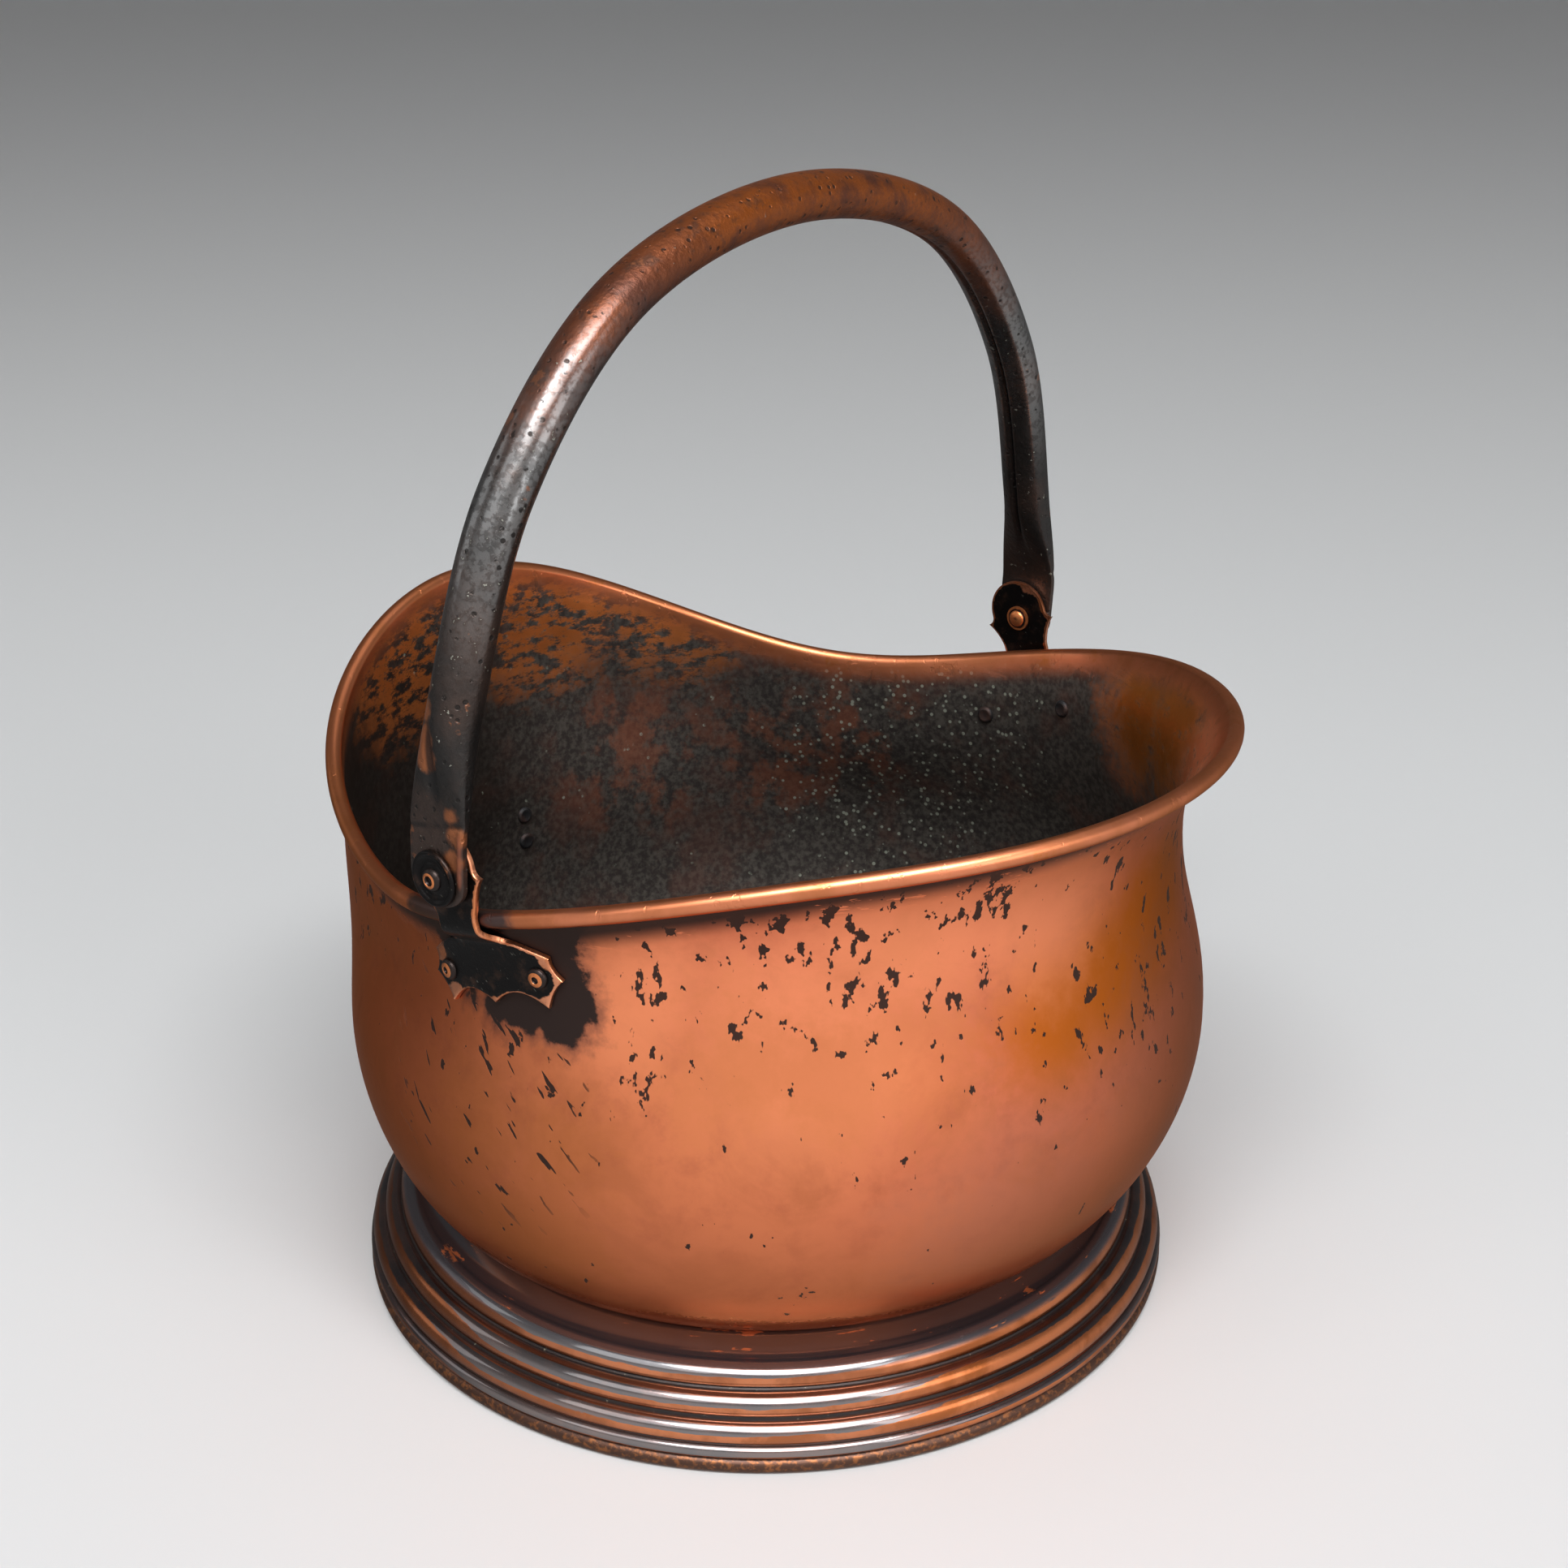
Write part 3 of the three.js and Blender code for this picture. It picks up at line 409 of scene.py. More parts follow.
    # The lining: black and brown, speckled pale by ash, worn to the metal near the rim.
    mottle = copper.cloud(34, 6, 0.66)
    grit = copper.cloud(420, 3, 0.6)
    brown = [(-135, 73, 140, 16), (-93, 114, 140, 16), (-60, 132, 150, 12)]
    browned = copper.spots(brown, 30, ragged * 2) * (patchy + mottle * 0.5).step(0.7, 0.86)
    sooty = copper.spots([(-148, -48, 150, 45), (-116, -100, 150, 40)], 50, ragged)
    ash = [(-47, 139, 132, 30), (-17, 143, 160, 20), (-30, 120, 70, 30)]
    ashy = (patchy + copper.spots(ash, 40, ragged) * 0.24).step(0.6, 0.7)
    flakes = copper.cloud(1, 5, 0.7, copper.stretched((10.5, 10.5, 4.8)))
    back = [(-146, 40, 222, 24), (-148, -40, 216, 16), (-120, 84, 205, 10)]
    worn_back = copper.spots(back, 36, ragged) * flakes.step(0.44, 0.56)
    lip = [(79, 124, 192, 9), (110, 100, 205, 14), (139, 66, 212, 14), (150, 10, 216, 16)]
    worn_lip = copper.spots(lip, 30, ragged * 1.6) * flakes.step(0.26, 0.5)
    gilt = copper.near((92, 112, 205), 26, 36, ragged)
    inside = copper.layers(
        copper.mix(grit.step(0.35, 0.7), (0.036, 0.032, 0.03), (0.09, 0.081, 0.071)),
        (mottle.step(0.48, 0.66) * (0.2 + grit * 0.4), (0.115, 0.05, 0.036)),
        (browned * (0.2 + grit * 0.5), (0.24, 0.075, 0.036)),
        (sooty * 0.75, (0.01, 0.008, 0.007)),
        (copper.dots(300, 0.18, 0.27) * ashy * 0.75, (0.36, 0.39, 0.31)),
        (worn_back * 0.9, (0.78, 0.235, 0.06)),
        (worn_lip * 0.95, copper.mix(gilt, (0.88, 0.31, 0.15), (0.5, 0.16, 0.03))),
    )

    worn = (worn_back | worn_lip) * lining
    dull = (black * outer * (1 - bead)) | (lining * (1 - worn * 0.8))
    rough = 0.33 + (clouds - 0.5) * 0.2 + (patchy - 0.5) * 0.12 + dull * 0.14 + stained * 0.05
    rough = rough - (1 - height.step(0.04, 0.062)) * outer * 0.16
    pits = mottle * lining + grit * lining * 0.12 + fine * 0.05 - black * outer * 0.12
    hammered = copper.bump(copper.cloud(30, 2, 0.5), 0.22, 0.0012)
    return copper.done(
        base_color=copper.mix(lining, outside, inside),
        roughness=rough,
        metallic=0.95 - dull * 0.45,
        normal=copper.bump(pits, 0.55, 0.0007, hammered),
    )


def bowl():
    """The sheet, its outer face first, then its inner face back down."""
    rings, lining, bead, below = [], [], [], []
    for turn in np.linspace(0, 2 * math.pi, BOWL_STEPS, endpoint=False):
        wall = wall_line(turn)
        slope = float(around(turn, RIM_FLARE)) + 90
        rim = (around(turn, RIM_REACH), around(turn, RIM_HEIGHT))
        roll = arc(rim, ROLL_RADIUS, slope, slope - ROLL_TURN, ROLL_STEPS)
        flange = [(SEAT[0] - BOWL_FLANGE, SEAT[1]), (SEAT[0] - FLANGE_BEND, SEAT[1])]
        line = np.concatenate([flange, wall, roll[1:]])
        depth = rim[1] - line[:, 1]
        # The roll goes over and outwards, so its face that shows is the inner face of the sheet.
        start = len(flange) + len(wall) - 1
        rolled = np.clip((np.arange(len(line)) - start) / BEAD_FADE, 0, 1)
        near_top = np.clip((depth - 1) / RIM_FADE, 0, 1)
        lining += [*np.zeros(len(line)), *(near_top * (1 - rolled))[::-1]]
        bead += [*(rolled > 0), *np.maximum(rolled, 1 - near_top)[::-1]]
        below += [*(depth / 1000), *(depth[::-1] / 1000)]
        section = np.concatenate([offset(line, SHEET / 2), offset(line, -SHEET / 2)[::-1]])
        swing = np.array((math.cos(turn), math.sin(turn)))
        rings.append(np.column_stack([section[:, :1] * swing, section[:, 1]]))
    faces = grid_faces(len(rings), len(rings[0]), closed=True)
    masks = {"lining": lining, "bead": bead, "below": below}
    return piece_of("bowl_sheet", np.concatenate(rings), faces, bowl_copper(), masks)


bowl_sheet = bowl()
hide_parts("bowl")
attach(bowl_sheet, "scuttle_body")

# ---- The foot ----
# A separate ring, spun from copper sheet over a former into three reeds, a narrow band and an edge
# rolled under over an iron wire. Its top flange is folded and soldered in under the bowl.
REEDS = ((134.6, 27.6, 5.2), (141.2, 20.9, 4.8), (146.4, 13.4, 4.6))  # radius, height, size
BAND = (149.75, 8.15, 2.45)
FOOT_ROLL = (149.4, 2.9, 2.9)
FOOT_FLANGE = SEAT[1] - SHEET - CLEAR
FOOT_COVE = [(125.2, FOOT_FLANGE - 0.2), (128.2, 33.6), (129.8, 33.1)]
FIRST_REED_START = 112
FOOT_ROLL_TURN = 250
REED_STEPS = 22
FOOT_ROLL_STEPS = 40
FOOT_STEPS = 224


def meeting(first, second):
    """Where two rounds of a profile, each (radius, height, size), meet on their outer side."""
    a, b = np.array(first[:2]), np.array(second[:2])
    away = np.linalg.norm(b - a)
    along = (b - a) / away
    reach = (away**2 + first[2] ** 2 - second[2] ** 2) / (2 * away)
    aside = math.sqrt(max(first[2] ** 2 - reach**2, 0))
    return a + reach * along + aside * np.array((-along[1], along[0]))


def bearing(of_round, point):
    """The angle of a point, seen from the middle of a round."""
    return math.degrees(math.atan2(point[1] - of_round[1], point[0] - of_round[0]))


def foot_profile():
    """The foot's outline as (radius, height), with each point's share of the way round its reed."""
    rounds = [*REEDS, BAND, FOOT_ROLL]
    points = [(SEAT[0] - BOWL_FLANGE, FOOT_FLANGE + SHEET / 2), (SEAT[0], FOOT_FLANGE + SHEET / 2)]
    points += FOOT_COVE
    shares = [0] * len(points)
    for i, reed in enumerate(rounds):
        start = FIRST_REED_START if i == 0 else bearing(reed, meeting(rounds[i - 1], reed))
        last = i == len(rounds) - 1
        end = start - FOOT_ROLL_TURN if last else bearing(reed, meeting(reed, rounds[i + 1]))
        steps = FOOT_ROLL_STEPS if last else REED_STEPS
        points += [*arc(reed[:2], reed[2], start, end, steps)]
        shares += [*(np.linspace(0, 1.6 if last else 1, steps + 1)).clip(0, 1)]
    inside = [*arc(FOOT_ROLL[:2], FOOT_ROLL[2] - SHEET, end, start + 4, 12)]
    for reed in reversed([*REEDS, BAND]):
        inside += [*arc(reed[:2], reed[2] - SHEET, -10, 90, 8)]
    inside += [(126.5, 32.6), (SEAT[0], FOOT_FLANGE - SHEET / 2)]
    inside += [(SEAT[0] - BOWL_FLANGE, FOOT_FLANGE - SHEET / 2)]
    return [*points, *inside], [*shares, *[0] * len(inside)]


def new_tree(name, inputs):
    """An empty Geometry Nodes tree, with its inputs as signals."""
    tree = bpy.data.node_groups.new(name, "GeometryNodeTree")
    for label, kind in {"Geometry": "Geometry", **inputs, "Finish": "Material"}.items():
        tree.interface.new_socket(label, in_out="INPUT", socket_type=f"NodeSocket{kind}")
    tree.interface.new_socket("Geometry", in_out="OUTPUT", socket_type="NodeSocketGeometry")
    source = tree.nodes.new("NodeGroupInput")
    return tree, {s.name: Signal(s) for s in source.outputs if s.name}


def close_tree(tree, given, made):
    """Ends a tree: all that it made is real mesh and wears the given finish."""
    real = add_node(tree, "GeometryNodeRealizeInstances", None, {"Geometry": made})
    sockets = {"Geometry": real, "Material": given["Finish"]}
    dressed = add_node(tree, "GeometryNodeSetMaterial", None, sockets)
    tree.links.new(dressed.socket, tree.nodes.new("NodeGroupOutput").inputs[0])
    return tree


def lathe_tree():
    """Turns a line of points in the XZ plane once round Z, as a spinner's lathe does.

    Each point's number "proud" goes with it: how far it is rubbed bare, or on the foot its share of
    the way round a reed.
    """
    tree, given = new_tree("lathe", {"Steps": "Int"})
    put = functools.partial(add_node, tree)
    line = given["Geometry"]
    count = put("GeometryNodeAttributeDomainSize", {"component": "MESH"}, {0: line})
    size = {"Vertices X": given["Steps"] + 1, "Vertices Y": count}
    grid = put("GeometryNodeMeshGrid", None, size)
    index = put("GeometryNodeInputIndex")
    turn = (index // count) / given["Steps"] * (2 * math.pi)

    def sampled(kind, value):
        sockets = {"Geometry": line, "Value": value, "Index": index % count}
        return put("GeometryNodeSampleIndex", {"data_type": kind}, sockets)

    place = sampled("FLOAT_VECTOR", put("GeometryNodeInputPosition"))
    named = put("GeometryNodeInputNamedAttribute", {"data_type": "FLOAT"}, {"Name": "proud"})
    swung = {"Vector": place, "Angle": turn}
    swung = put("ShaderNodeVectorRotate", {"rotation_type": "Z_AXIS"}, swung)
    spun = put("GeometryNodeSetPosition", None, {"Geometry": grid, "Position": swung})
    kept = {"Geometry": spun, "Name": "proud", "Value": sampled("FLOAT", named)}
    on_points = {"data_type": "FLOAT", "domain": "POINT"}
    kept = put("GeometryNodeStoreNamedAttribute", on_points, kept)
    closed = put("GeometryNodeMergeByDistance", None, {"Geometry": kept, "Distance": 1e-6})
    return close_tree(tree, given, closed)


def through(name, source, tree, values, finish, sharp=40):
    """Runs a piece's source mesh through a tree and keeps the result as a plain mesh."""
    maker = linked(name + "_maker", source)
    modifier = maker.modifiers.new("tree", "NODES")
    modifier.node_group = tree
    values = {**values, "Finish": finish}
    for item in tree.interface.items_tree:
        if item.item_type == "SOCKET" and item.name in values:
            modifier[item.identifier] = values[item.name]
    bpy.context.view_layer.update()
    worked = bpy.context.evaluated_depsgraph_get()
    mesh = bpy.data.meshes.new_from_object(
        maker.evaluated_get(worked), preserve_all_data_layers=True, depsgraph=worked
    )
    bpy.data.objects.remove(maker)
    mesh.name = name
    return finished(linked(name, mesh), finish, sharp)


lathe = lathe_tree()


def spun(name, points, steps, finish, proud=None, turn=None, at=(0, 0, 0), sharp=40):
    """A piece turned from a profile of (radius, height), laid over and set at a point."""
    line = np.array([(r / 1000, 0, z / 1000) for r, z in [*points, points[0]]])
    proud = proud or [0] * len(points)
    profile = mesh_of(name, line, [], {"proud": [*proud, proud[0]]})
    made = through(name, profile, lathe, {"Steps": steps}, finish, sharp)
    if turn:
        made.data.transform(turn.to_matrix().to_4x4())
    made.data.transform(Matrix.Translation(Vector(placed(at))))
    return made


def foot_copper():
    """Purple-brown patina with a gloss: crests rubbed to copper, grooves black, edge speckled."""
    gloss = {"Specular IOR Level": 0.5, "Coat Roughness": 0.09, "Coat IOR": 2.1}
    copper = Finish("dark_copper", gloss)
    share = copper.attribute("proud")  # of the way round a reed, from the bowl outwards
    height = copper.along(2)
    clouds = copper.cloud(34, 5, 0.6, warp=0.4)
    streaks = copper.cloud(1, 5, 0.65, copper.stretched((30, 30, 2.2)))
    fine = copper.cloud(480, 4, 0.6)
    front = copper.near((68, -136, 20), 66, 40)
    # Painted shade: the rubbed copper is darkened over the back half, towards -X.
    shaded = 1 - copper.along(0).step(-0.02, 0.06)
    crest = (share + (1 - front) * 0.26).step(0.5, 0.72) * (1 - share.step(0.84, 0.95))
    rubbed = (crest + (streaks - 0.5) * 1.3 + (clouds - 0.5) * 1.3).step(0.5, 0.64)
    worn = rubbed * share.step(0.12, 0.32)
    bright = copper.mix(clouds.step(0.4, 0.6), (0.5, 0.16, 0.06), (0.32, 0.09, 0.024))

    # The hollow beside the bowl keeps its patina, bared only in a few short streaks.
    cove = height.step(0.0295, 0.0315)
    groove = (1 - share.step(0.04, 0.22) * (1 - share.step(0.88, 0.98))) * (1 - cove)
    edge = 1 - height.step(0.005, 0.0064)
    colour = copper.layers(
        copper.mix(clouds.step(0.35, 0.65), (0.056, 0.04, 0.042), (0.125, 0.066, 0.054)),
        (worn, copper.mix(shaded * 0.6, bright, (0.14, 0.042, 0.014))),
        (cove, (0.06, 0.052, 0.058)),
        (streaks.step(0.64, 0.67) * cove, (0.62, 0.2, 0.08)),
        (groove * 0.9, (0.014, 0.01, 0.009)),
        (groove * fine.step(0.66, 0.72) * 0.7, (0.3, 0.27, 0.2)),
        (edge * 0.9, copper.mix(fine.step(0.46, 0.66), (0.075, 0.038, 0.026), (0.24, 0.09, 0.034))),
    )
    grain = streaks * 0.4 + fine * (0.12 + edge * 0.6 + groove * 0.5)
    return copper.done(
        base_color=colour,
        roughness=0.24 + (clouds - 0.5) * 0.2 + edge * 0.2 + groove * 0.2,
        metallic=0.95 - (groove | cove) * 0.45,
        coat_weight=(1 - worn * 0.8) * (1 - groove) * (1 - edge) * (front * 0.75 + 0.25),
        normal=copper.bump(grain, 0.4, 0.0004, copper.bump(clouds, 0.22, 0.001)),
    )


foot_points, foot_shares = foot_profile()
foot = spun("foot_spinning", foot_points, FOOT_STEPS, foot_copper(), foot_shares, sharp=50)
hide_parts("foot_ring")
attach(foot, "scuttle_body")


# ---- The base ----
# A shallow dished disc of copper, blackened by coal, that closes the bowl below. It lies on the
# bowl's inner flange, and solder holds it there.
BASE_UNDER = SEAT[1] + SHEET / 2 + CLEAR
BASE_EDGE = SEAT[0] - 1.5 * SHEET
BASE_STEPS = 128
AXIS = 0.001  # the radius at which the profile of a closed disc starts and ends


def black_lining():
    """Coal-black oxide on copper, mottled brown."""
    copper = Finish("blackened_copper", {"Specular IOR Level": 0.4})
    mottle = copper.cloud(45, 6, 0.65)
    fine = copper.cloud(260, 4, 0.6)
    colour = copper.mix(mottle.step(0.52, 0.72) * 0.8, OXIDE, (0.1, 0.042, 0.026))
    shape = copper.bump(mottle + fine * 0.2, 0.5, 0.0008)
    return copper.done(base_color=colour, roughness=0.5 + fine * 0.2, metallic=0.5, normal=shape)


under = [(AXIS, 4), (60, 3), (104, 0.3), (108, 0), (BASE_EDGE, 0)]
under = [(r, BASE_UNDER + rise) for r, rise in under]
over = [(r, z + SHEET) for r, z in under[::-1]]
base = spun("base_disc", [*under, *over], BASE_STEPS, black_lining())
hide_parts("base_plate")
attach(base, "scuttle_body")


# ---- The wires ----
# Iron wires closed in by the rolled edges of the bowl and the foot, which they stiffen. They stay
# hidden, so the drawing's own meshes do.
def iron():
    """Dull iron with rust."""
    metal = Finish("edge_wire", {"Metallic": 1.0})
    rust = metal.cloud(90, 4, 0.6)
    colour = metal.mix(rust.step(0.45, 0.65), (0.16, 0.15, 0.14), (0.12, 0.05, 0.025))
    return metal.done(base_color=colour, roughness=0.5 + rust * 0.3)


wire_finish = iron()
for wire_name in ("rim_wire", "foot_wire"):
    frame["nodes"][wire_name].data.materials.clear()
    frame["nodes"][wire_name].data.materials.append(wire_finish)


# ---- The ears ----
# Two stamped copper plates 1.8 mm thick with scalloped edges, blackened, each held to the bowl by
# two rivets and bent out over the rolled rim to carry the bail's pivot in a round eye.
EAR_SHEET = 1.8
EAR_LEAN = {"right": 14, "left": 18}
EAR_HEIGHT = 36.5
EAR_NECK = 18.4
EYE_RADIUS = 12.6
EYE_RISE = 2.4
EAR_RETURN = 0.8
EAR_LEAVES = (-9, -2)  # heights from the rim between which an ear leaves the wall
EAR_UPRIGHT = (1.6, 5.6)  # and between which it comes upright
EYE_START = 1.2  # below the eye's middle, where its round begins
EAR_RIVET_SPACING = 39.8
WORN_EDGE = 0.45
NET = 1.3  # spacing of the points that fill an ear's outline
NET_MARGIN = 1.1
NUDGE = 0.2  # the step over which the plate's slope is taken
FACET_ROOM = 0.11  # by which the drawing's bead is fuller, for its facets
BEVEL = ((0, 0.55), (0.12, 0.2))  # rings of the edge: how far in, how far below the face
WORN_TIPS = {  # across, up and radius of the spots of bare copper
    "right": (
        (-24.5, 6.2, 4), (-18.5, -8, 4.2), (-22, -9, 3.5), (0, -9.2, 2.2), (21, -9.5, 3.2),
        (27.6, -1.4, 2.8), (25.2, 5.6, 3),
    ),
    "left": ((-26, 6, 3), (-21, -10, 3), (0, -9.4, 2.5), (21, -10, 3), (28, -1.6, 3), (9, 50, 5)),
}

wall_turns = np.linspace(0, math.pi, 181)
wall_heights = np.linspace(SEAT[1], 236, 260)  # to just above the wall's highest place
wall_table = np.array(
    [np.interp(wall_heights, *wall_line(turn)[:, ::-1].T) for turn in wall_turns]
)


def wall_radius(turn, height):
    """The radius of the wall's middle at a turn and a height, read between worked places."""
    t = np.clip(np.abs(turn) / wall_turns[1], 0, len(wall_turns) - 1.001)
    h = (np.asarray(height) - wall_heights[0]) / (wall_heights[1] - wall_heights[0])
    h = np.clip(h, 0, len(wall_heights) - 1.001)
    i, j = t.astype(int), h.astype(int)
    a, b = t - i, h - j
    low, high = (wall_table[k, j] * (1 - b) + wall_table[k, j + 1] * b for k in (i, i + 1))
    return low * (1 - a) + high * a


bead_turns = np.linspace(0, math.pi, 721)
bead_reach = around(bead_turns, RIM_REACH)
bead_x = bead_reach * np.cos(bead_turns)
bead_y = bead_reach * np.sin(bead_turns)
bead_z = around(bead_turns, RIM_HEIGHT)


def beside(x, values):
    """What a row of values beside the bead's points comes to at a place along X."""
    return np.interp(x, bead_x[::-1], values[::-1])


def wall_beside(x, height):
    """How far out along Y the wall's outer face lies."""
    y = np.full(np.shape(x), 150.0)  # a first guess, made good in four rounds
    for _ in range(4):
        radius = wall_radius(np.arctan2(y, x), height) + SHEET / 2
        y = np.sqrt(radius**2 - x**2)
    return y


def smooth(value, low, high):
    """0 below low, 1 above high, and smooth between."""
    t = np.clip((value - low) / (high - low), 0, 1)
    return t * t * (3 - 2 * t)


neck_places = PIVOT[0] + np.array((-1, 0, 1, 2)) * EAR_NECK / 2
crest_inside = beside(neck_places, bead_y).max() + BEAD_RADIUS + FACET_ROOM + CLEAR
eye_inside = crest_inside - EAR_RETURN


def ear_inside(x, height):
    """How far out an ear's inner face lies: on the wall, round the bead, then upright."""
    rim_y, rim_z = beside(x, bead_y), beside(x, bead_z)
    above = height - rim_z
    wall = wall_beside(x, np.minimum(height, rim_z - BEAD_RADIUS)) + CLEAR
    crest = rim_y + BEAD_RADIUS + CLEAR
    up_to = wall + (crest - wall) * smooth(above, *EAR_LEAVES)
    return up_to + (eye_inside - up_to) * smooth(above, *EAR_UPRIGHT)


def ear_frame(side):
    """Turns places on an ear's flat plate, across and up, into x and height on the drawing."""
    lean = math.radians(EAR_LEAN[side])
    across = np.array((math.cos(lean), math.sin(lean)))
    up = np.array((-across[1], across[0]))
    origin = np.array((PIVOT[0], PIVOT[2])) - up * EAR_HEIGHT
    return lambda u, v: origin + np.multiply.outer(u, across) + np.multiply.outer(v, up)


def ear_outline():
    """Half of the stamped outline, from the middle cusp up to the eye, then mirrored."""
    neck = EAR_NECK / 2
    eye = EAR_HEIGHT + EYE_RISE
    bows = (
        ((21, -10.8), (10.5, -0.9)),
        ((28.4, -1.6), (23.4, -4.6)),
        ((26.2, 6.6), (24.6, 2.6)),
        ((neck + 1.6, 13.4), (18, 11.2)),
        ((neck, 21), (neck, 14.6)),
        ((15.4, 35), (neck + 1.4, 30.5)),
        ((EYE_RADIUS, eye - EYE_START), (13, 35.6)),
    )
    line = [np.array((0, -9.4))]
    for end, by in bows:
        start = line[-1]
        for t in np.linspace(0, 1, 15)[1:]:
            by_part = 2 * t * (1 - t) * np.array(by)
            line.append((1 - t) ** 2 * start + by_part + t * t * np.array(end))
    rise = math.degrees(math.asin(-EYE_START / EYE_RADIUS))
    line += list(arc((0, eye), EYE_RADIUS, rise, 90, 26)[1:])
    line = np.array(line)
    return np.concatenate([line, (line * (-1, 1))[-2:0:-1]])


def ear(side, finish):
    """The plate: its outline filled with a fine net, laid on both faces and bent over the rim."""
    edge = ear_outline()
    run = np.roll(edge, -1, 0) - np.roll(edge, 1, 0)
    inward = np.stack([-run[:, 1], run[:, 0]], 1) / np.linalg.norm(run, axis=1)[:, None]
    rim = edge + inward * WORN_EDGE
    u, v = np.meshgrid(np.arange(-30, 31, NET), np.arange(-13, 53, NET))
    spots = np.stack([u.ravel(), v.ravel()], 1)
    near = np.linalg.norm(spots[:, None] - edge[None], axis=2).min(1)
    flat = [Vector(p) for p in [*rim, *spots[near > NET_MARGIN]]]
    count = len(rim)
    border = [(i, (i + 1) % count) for i in range(count)]
    net, _, triangles, *_ = delaunay_2d_cdt(flat, border, [], 1, 1e-5)
    net = np.array([tuple(p) for p in net])
    sheets = [(net, EAR_SHEET), (net, 0.0), (edge, 0.0)]
    sheets += [(edge + inward * into, EAR_SHEET - down) for into, down in BEVEL]
    place = ear_frame(side)
    tips = np.array(WORN_TIPS[side])
    points, worn = [], []
    for k, (flat_points, lift) in enumerate(sheets):
        across, up = flat_points.T
        x, z = place(across, up).T
        y = ear_inside(x, z)
        slope_x = (ear_inside(x + NUDGE, z) - y) / NUDGE
        slope_z = (ear_inside(x, z + NUDGE) - y) / NUDGE
        out = np.stack([-slope_x, np.ones(len(x)), -slope_z], 1)
        out *= lift / np.linalg.norm(out, axis=1)[:, None]
        points.append(np.stack([x, y, z], 1) + out)
        rubbed = np.clip(0.68 + across * 0.012 + up * 0.006, 0.56, 1)
        if k < 2:
            rubbed[count:] = 0
        to_tips = np.linalg.norm(flat_points[:, None] - tips[None, :, :2], axis=2) / tips[:, 2]
        worn.append(np.maximum(rubbed, np.clip(1.6 - to_tips.min(1), 0, 1)))
    points = np.concatenate(points) * (1, 1 if side == "left" else -1, 1)
    total = len(net)
    faces = [tuple(t) for t in triangles] + [tuple(i + total for i in t[::-1]) for t in triangles]
    starts = (0, 2 * total + 2 * count, 2 * total + count, 2 * total, total)
    for above, under_it in zip(starts, starts[1:]):
        faces += [(above + i, under_it + i, under_it + j, above + j) for i, j in border]
    made = piece_of(f"{side}_ear_plate", points, faces, finish, {"proud": np.concatenate(worn)}, 55)
    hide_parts(f"{side}_ear")
    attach(made, "scuttle_body")


def black_copper():
    """Soot-black copper with a dull sheen, rubbed bright along its edges and at its tips."""
    copper = Finish("black_copper", {"Specular IOR Level": 0.15})
    clouds = copper.cloud(110, 5, 0.65)
    fine = copper.cloud(650, 4, 0.6)
    nicks = copper.cloud(1, 2, 0.5, copper.stretched((2.4, 2.4, 0.7), (0, 0.6, 0.3)))
    rubbed = copper.attribute("proud") + (clouds - 0.5) * 0.7 + (fine - 0.5) * 0.3
    rubbed = rubbed.step(0.52, 0.74)
    colour = copper.layers(
        copper.mix(clouds.step(0.5, 0.74), (0.008, 0.007, 0.007), (0.048, 0.026, 0.018)),
        (nicks.step(0.7, 0.74) * 0.5, (0.22, 0.21, 0.18)),
        (rubbed, copper.mix(clouds.step(0.4, 0.6), (0.6, 0.24, 0.13), (0.5, 0.17, 0.07))),
    )
    return copper.done(
        base_color=colour,
        roughness=0.34 + (fine - 0.5) * 0.2 - rubbed * 0.04,
        metallic=0.7 + rubbed * 0.25,
        normal=copper.bump(clouds + fine * 0.3, 0.5, 0.0005),
    )


black_finish = black_copper()
for side in ("right", "left"):
    ear(side, black_finish)


# ---- The rivets through the wall ----
# Copper rivets with low domed heads outside, rubbed to a bright ring, and flat peened ends inside,
# black like the lining. Two hold each ear and two hold each pad of the rear grip.
RIVET_HEAD = (3.7, 1.9)  # radius, height
RIVET_TAIL = (3.5, 1.3)
RIVET_EDGE = 0.15  # height of the plain edge below the dome
RIVET_STEPS = 26
GRIP_HEIGHT = 118
GRIP_PAD_SPREAD = 21
GRIP_RIVET_SPACING = 11.4
GRIP_PAD_SHEET = 3


def wall_point(turn, height):
    """A point in the middle of the wall's sheet."""
    radius = float(wall_radius(np.array(turn), np.array(height)))
    return np.array((radius * math.cos(turn), radius * math.sin(turn), height))


def wall_out(turn, height):
    """The direction that faces straight out of the wall."""
    swing, rise = 0.02, 3  # about 3 mm either way
    level = wall_point(turn + swing, height) - wall_point(turn - swing, height)
    up = wall_point(turn, height + rise) - wall_point(turn, height - rise)
    out = np.cross(level, up)
    return out / np.linalg.norm(out)


grip_turn = math.pi + math.asin(GRIP_PAD_SPREAD / wall_point(math.pi, GRIP_HEIGHT)[0])
rivets = []
for side, way in (("right", -1), ("left", 1)):
    for u in (-EAR_RIVET_SPACING / 2, EAR_RIVET_SPACING / 2):
        x, z = ear_frame(side)(u, 0)
        turn = math.atan2(float(wall_beside(np.array(x), np.array(z))), x)
        rivets.append((way * turn, z, EAR_SHEET))
    for step in (-GRIP_RIVET_SPACING / 2, GRIP_RIVET_SPACING / 2):
        rivets.append((way * grip_turn, GRIP_HEIGHT + step, GRIP_PAD_SHEET))


